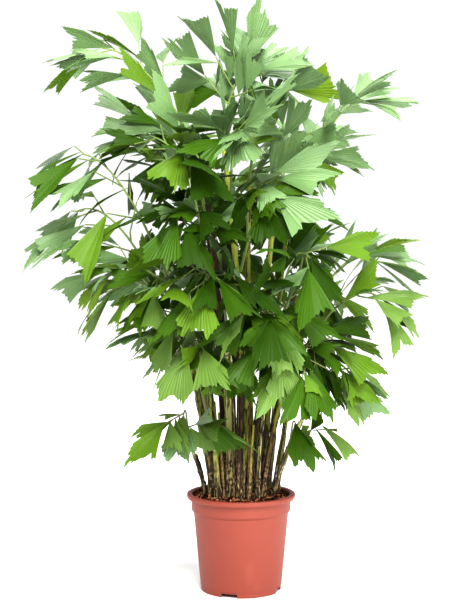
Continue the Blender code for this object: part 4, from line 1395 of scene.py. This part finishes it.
def young_stem(draw):
    """A thin stem that rises between two neighbouring canes and leans with them."""
    first = draw.choice(CANES)
    near = sorted(CANES, key=lambda cane: (Vector(cane.foot) - Vector(first.foot)).length)
    second = draw.choice(near[1 : NEIGHBOURS + 1])
    place, top = draw.uniform(*YOUNG_PLACES), draw.uniform(*YOUNG_TOPS)
    shift = Vector((draw.gauss(0, YOUNG_SHIFT), draw.gauss(0, YOUNG_SHIFT), 0))
    radius = draw.uniform(*YOUNG_RADIUS)
    path = []
    for up in even(YOUNG_RINGS):
        beside = [bezier(cane_corners(cane), top * up) for cane in (first, second)]
        path.append(beside[0].lerp(beside[1], place) + shift * (1 + 2 * top * up))
    path[0].z = SOIL_TOP - STEM_SINK
    radii = [radius * (YOUNG_FOOT - YOUNG_TAPER * up) for up in even(YOUNG_RINGS)]
    return tube(path, radii, YOUNG_SIDES, EAST)


def build_canes(settings):
    """Every cane, in four barks, the husks and fibres round them, and thin stems between them."""
    canes = list(enumerate(CANES))
    barks = [("tan", 0.10), ("brown", 0.6), ("green", 0.15), ("olive", 0.3)]
    for kind, (name, cover) in enumerate(barks):
        finish = cane_finish(f"{name} cane", getattr(settings, name), settings.fibre, cover)
        sheaf = Sheaf(bark_mesh(number, cane) for number, cane in canes[kind :: len(barks)])
        sheaf.piece(f"canes_{name}", finish, "cane", CANE_NODES[kind :: len(barks)], CANE_SHARP)
    fibres = Sheaf(fibre for number, cane in canes for fibre in cane_fibres(number, cane, settings.fibres))
    fibres.piece("sheath_fibres", plain_finish("sheath fibre", settings.fibre), "cane", CANE_NODES)
    husks = Sheaf(husk(number, cane) for number, cane in canes)
    husks.piece("foot_husks", husk_finish(settings), "cane", CANE_NODES, ALL_SHARP)
    draw = Random("young stems")
    for name in ("brown", "olive"):
        finish = cane_finish(f"young {name} stem", getattr(settings, name), settings.fibre, 0.3)
        stems = Sheaf(young_stem(draw) for _ in range(settings.young // 2))
        stems.piece(f"young_stems_{name}", finish, "cane", CANE_NODES)


def blade_faces():
    """A blade's quads: a closed ring round it for each row, and a strip that closes either end."""
    around = 2 * VEINS
    last = around * (len(BLADE_ROWS) - 1)
    root = [(vein + 1, vein, around - 1 - vein, around - 2 - vein) for vein in range(VEINS - 1)]
    rim = [tuple(last + corner for corner in reversed(quad)) for quad in root]
    return ring_faces(len(BLADE_ROWS), around) + root + rim


def soften(values):
    """Rounds a row of values and keeps its ends."""
    softer = values.copy()
    softer[1:-1] = (values[:-2] + 2 * values[1:-1] + values[2:]) / 4
    return softer


def margin(leaf):
    """The leaflet's outer edge, a point for each vein, as distances across and ahead of its root."""
    edge = [point - leaf.root for point in leaf_edge(leaf)]
    across, ahead = (np.array([point.dot(axis) for point in edge]) for axis in (leaf.across, leaf.ahead))
    along = np.concatenate([[0], np.cumsum(np.hypot(np.diff(across), np.diff(ahead)))])
    places = np.linspace(0, along[-1], VEINS)
    return [soften(np.interp(places, along, side)) for side in (across, ahead)]


def bites(draw, tooth):
    """How much the margin is bitten back at each vein: teeth, broad steps and now and then a split."""
    cut = np.zeros(VEINS)
    for vein in range(1, VEINS - 1):
        cut[vein] = tooth * draw.uniform(*(TEETH if vein % 2 else DIPS))
    for _ in range(draw.choice(STEP_COUNTS)):
        vein = draw.randrange(STEP_CLEAR, VEINS - STEP_CLEAR)
        depth = draw.uniform(*STEP_DEPTHS)
        cut[vein] += depth
        cut[vein + draw.choice((-1, 1))] += depth * draw.uniform(*STEP_SPREADS)
    if draw.random() < SPLIT_SHARE:
        cut[draw.randrange(SPLIT_CLEAR, VEINS - SPLIT_CLEAR)] = draw.uniform(*SPLIT_DEPTHS)
    return cut


def bowed(long, length, angle):
    """How far ahead and how far below its plane a point lies once a blade bows, most near its margin."""
    share = long / length
    return length * (share - angle**2 * share**5 / 10), length * angle * share**3 / 3


def blade(leaf, draw, settings):
    """A pleated wedge with a ragged margin, waved, cupped, and bowed down where it lies level."""
    across, ahead = margin(leaf)
    cut = bites(draw, settings.tooth)
    cut[int(np.argmax(np.hypot(across, ahead)))] = DRAWN_TIP
    rows = np.array(BLADE_ROWS)[:, None]
    wide = across * (1 - cut * rows**2) * rows
    long = ahead * (1 - cut * rows**2) * rows
    share = np.linspace(-1, 1, VEINS)
    ridges = np.array([draw.uniform(*PLEAT_HEIGHTS) * (-1) ** vein for vein in range(VEINS)])
    pleats = settings.pleat * ridges * rows**PLEAT_GROWTH
    height = draw.uniform(*WAVE_HEIGHTS)
    turns = share * draw.uniform(*WAVE_COUNTS) + draw.uniform(0, ANY_TURN)
    waves = height * np.sin(turns) * rows**WAVE_GROWTH
    cup = draw.uniform(*CUPS) * (share**2 - CUP_LEVEL) * rows
    angle = max(LEAST_BOW, settings.bend * draw.uniform(*BOWS_DOWN) * leaf.ahead.xy.length)
    long, drop = bowed(long, leaf.length, angle)
    slim = min(1, (across.max() - across.min()) / leaf.length)
    lift = (pleats + waves + cup) * slim * leaf.length - math.copysign(1, leaf.normal.z) * drop
    axes = np.array([leaf.across, leaf.ahead, leaf.normal])
    surface = np.stack([wide, long, lift], axis=-1) @ axes + np.array(leaf.root)
    thin = np.array(leaf.normal) * BLADE_THICKNESS / 2
    return np.concatenate([surface - thin, (surface + thin)[:, ::-1]], axis=1).reshape(-1, 3)


def tint_of(leaf, draw, spray):
    """Painted shade and light: dark in the crown's core, which leans left with height, and lighter away
    from it.
    """
    middle = leaf.root + leaf.ahead * leaf.length * TINT_PLACE
    above, below = max(0, middle.z - SHADE_CORE_HEIGHTS[1]), max(0, SHADE_CORE_HEIGHTS[0] - middle.z)
    core = SHADE_CORE_FOOT - SHADE_CORE_LEAN * min(max(0, middle.z - SHADE_CORE_HEIGHTS[0]), SHADE_CORE_RISE)
    beside = max(0, abs(middle.x - core) - SHADE_CORE_WIDTH)
    if middle.z < FOOT_LEAVES:
        beside *= FOOT_FADE
    lift = sum(min(most, gain * away) for (most, gain), away in zip(SHADE_CORE_LIFTS, (above, below, beside)))
    light = LEAST_LIGHT + lift + SPRAY_LIGHT * spray + draw.gauss(0, LEAF_LIGHT)
    if draw.random() < STRAY_SHARE:
        light = max(light, STRAY_LIGHT)
    high = middle.z > COOL_HEIGHT
    # The brightest leaflets take lime, painted light through them, or a painted sky sheen: pale high up,
    # else cool
    if light > BRIGHT:
        if draw.random() < (HIGH_LIME_SHARE if high else LIME_SHARE):
            return "lime"
        return "pale" if middle.z > PALE_HEIGHT else "cool"
    tints = CROWN_TINTS if middle.z > CROWN_HEIGHT else HIGH_TINTS if high else LOW_TINTS
    return tints[max(0, min(len(tints) - 1, int(light * LIGHT_STEPS)))]


def build_blades(grown, settings):
    """Every leaflet, joined by tint."""
    sheaves = {tint: Sheaf() for tint in GLOSS}
    faces = blade_faces()
    for number, frond in enumerate(grown):
        draw = Random(f"blades {number}")
        spray = draw.gauss(0, SPRAY_PLAY)
        for leaf in frond.end_leaves + frond.leaves:
            # The tint carries painted shade in the crown's core, and painted light and sky sheen away from
            # it
            sheaves[tint_of(leaf, draw, spray)].add(blade(leaf, draw, settings), faces)
    for tint, sheaf in sheaves.items():
        finish = blade_finish(f"{tint} leaf", getattr(settings, tint), GLOSS[tint], settings)
        sheaf.piece(f"leaflets_{tint}", finish, "foliage", FROND_NODES, BLADE_SHARP)


def build_stalks(grown, settings):
    """The fronds' stalks, and the ribs that carry the leaflets."""
    stalks, ribs = Sheaf(), Sheaf()
    shares = even(RIB_RINGS + 1)[1:]
    radii = [RIB_RADIUS * RIB_FOOT] + [between(RIB_RADIUS, RIB_TIP_RADIUS, share) for share in shares]
    for frond in grown:
        path, shape = rachis_tube(frond.corners, STALK_RINGS, STALK_SIDES)
        stalks.add(*shape)
        for rib in filter(None, frond.ribs):
            near = min(path, key=lambda point: (point - rib.start).length)
            places = [near] + [rib.start.lerp(rib.end, share) for share in shares]
            ribs.add(*tube(places, radii, RIB_SIDES, rib.normal))
    stalks.piece("frond_stalks", stalk_finish("stalk", settings.stalk), "foliage", FROND_NODES)
    ribs.piece("frond_ribs", stalk_finish("rib", settings.stalk), "foliage", FROND_NODES)


def build_fronds(settings):
    grown = grow_fronds()
    build_stalks(grown, settings)
    build_blades(grown, settings)


def build_floor(settings):
    """A plain pale floor, wide enough to meet the sky at the horizon."""
    shape = bmesh.new()
    bmesh.ops.create_circle(shape, cap_ends=True, segments=FLOOR_SIDES, radius=FLOOR_RADIUS)
    finish = Finish("pale floor").shade(Base_Color=solid(settings.floor), Roughness=0.9)
    floor = add_shape("floor", shape, finish)
    floor.location.z = -FLOOR_DROP


def point_at(thing, place, target):
    """Puts a light or the camera in its place and turns it to its target."""
    thing.location = place
    thing.rotation_mode = "QUATERNION"
    thing.rotation_quaternion = (Vector(target) - Vector(place)).to_track_quat("-Z", "Y")


def build_stage(settings):
    """Floor, soft light from all round, three round lights, and the camera."""
    scene = bpy.context.scene
    build_floor(settings)
    scene.world = bpy.data.worlds.new("studio")
    scene.world.use_nodes = True
    sky = scene.world.node_tree.nodes["Background"]
    sky.inputs["Color"].default_value = (1, 1, 1, 1)
    sky.inputs["Strength"].default_value = settings.sky
    scene.view_settings.view_transform = "Standard"
    scene.view_settings.gamma = settings.gamma
    for name, place, target, size, power in LIGHTS:
        light = bpy.data.lights.new(name, "AREA")
        light.shape = "DISK"
        light.size = size
        light.energy = settings.key * power
        point_at(add_object(name, light), place, target)
    camera = bpy.data.cameras.new("camera")
    camera.lens = settings.lens
    camera.sensor_width = SENSOR_WIDTH
    camera.clip_end = FARTHEST_VIEW
    scene.camera = add_object("camera", camera)
    point_at(scene.camera, VIEW_FROM, VIEW_AT)


class PALM_OT_stage(bpy.types.Operator):
    """Set the floor, the lights and the camera"""

    bl_idname = "palm.stage"
    bl_label = "Set the stage"

    def execute(self, context):
        build_stage(context.scene.palm_stage)
        return {"FINISHED"}


class PALM_OT_pot(bpy.types.Operator):
    """Make the nursery pot with its lip, band and notched foot"""

    bl_idname = "palm.pot"
    bl_label = "Make the pot"

    def execute(self, context):
        build_pot(context.scene.palm_pot)
        return {"FINISHED"}


class PALM_OT_soil(bpy.types.Operator):
    """Fill the pot with bark chips and coir"""

    bl_idname = "palm.soil"
    bl_label = "Fill the soil"

    def execute(self, context):
        build_soil(context.scene.palm_soil)
        return {"FINISHED"}


class PALM_OT_canes(bpy.types.Operator):
    """Raise the canes with their bark and fibres"""

    bl_idname = "palm.canes"
    bl_label = "Raise the canes"

    def execute(self, context):
        build_canes(context.scene.palm_canes)
        return {"FINISHED"}


class PALM_OT_fronds(bpy.types.Operator):
    """Grow the fronds with all their leaflets"""

    bl_idname = "palm.fronds"
    bl_label = "Grow the fronds"

    def execute(self, context):
        build_fronds(context.scene.palm_fronds)
        return {"FINISHED"}


class PALM_PT_panel(bpy.types.Panel):
    """The palm's pieces and their settings"""

    bl_label = "Potted palm"
    bl_idname = "PALM_PT_panel"
    bl_space_type = "VIEW_3D"
    bl_region_type = "UI"
    bl_category = "Palm"

    def draw(self, context):
        for group, (kind, operator) in GROUPS.items():
            box = self.layout.box()
            box.operator(operator.bl_idname)
            for name in kind.__annotations__:
                box.prop(getattr(context.scene, group), name)


GROUPS = {
    "palm_stage": (StageSettings, PALM_OT_stage),
    "palm_pot": (PotSettings, PALM_OT_pot),
    "palm_soil": (SoilSettings, PALM_OT_soil),
    "palm_canes": (CaneSettings, PALM_OT_canes),
    "palm_fronds": (FrondSettings, PALM_OT_fronds),
}
CLASSES = [kind for pair in GROUPS.values() for kind in pair] + [PALM_PT_panel]


def register():
    for kind in CLASSES:
        bpy.utils.register_class(kind)
    for name, (kind, _) in GROUPS.items():
        setattr(bpy.types.Scene, name, PointerProperty(type=kind))


def unregister():
    for name in GROUPS:
        delattr(bpy.types.Scene, name)
    for kind in reversed(CLASSES):
        bpy.utils.unregister_class(kind)


def main():
    register()
    bpy.ops.palm.stage()
    bpy.ops.palm.pot()
    bpy.ops.palm.soil()
    bpy.ops.palm.canes()
    bpy.ops.palm.fronds()


if __name__ == "__main__":
    main()
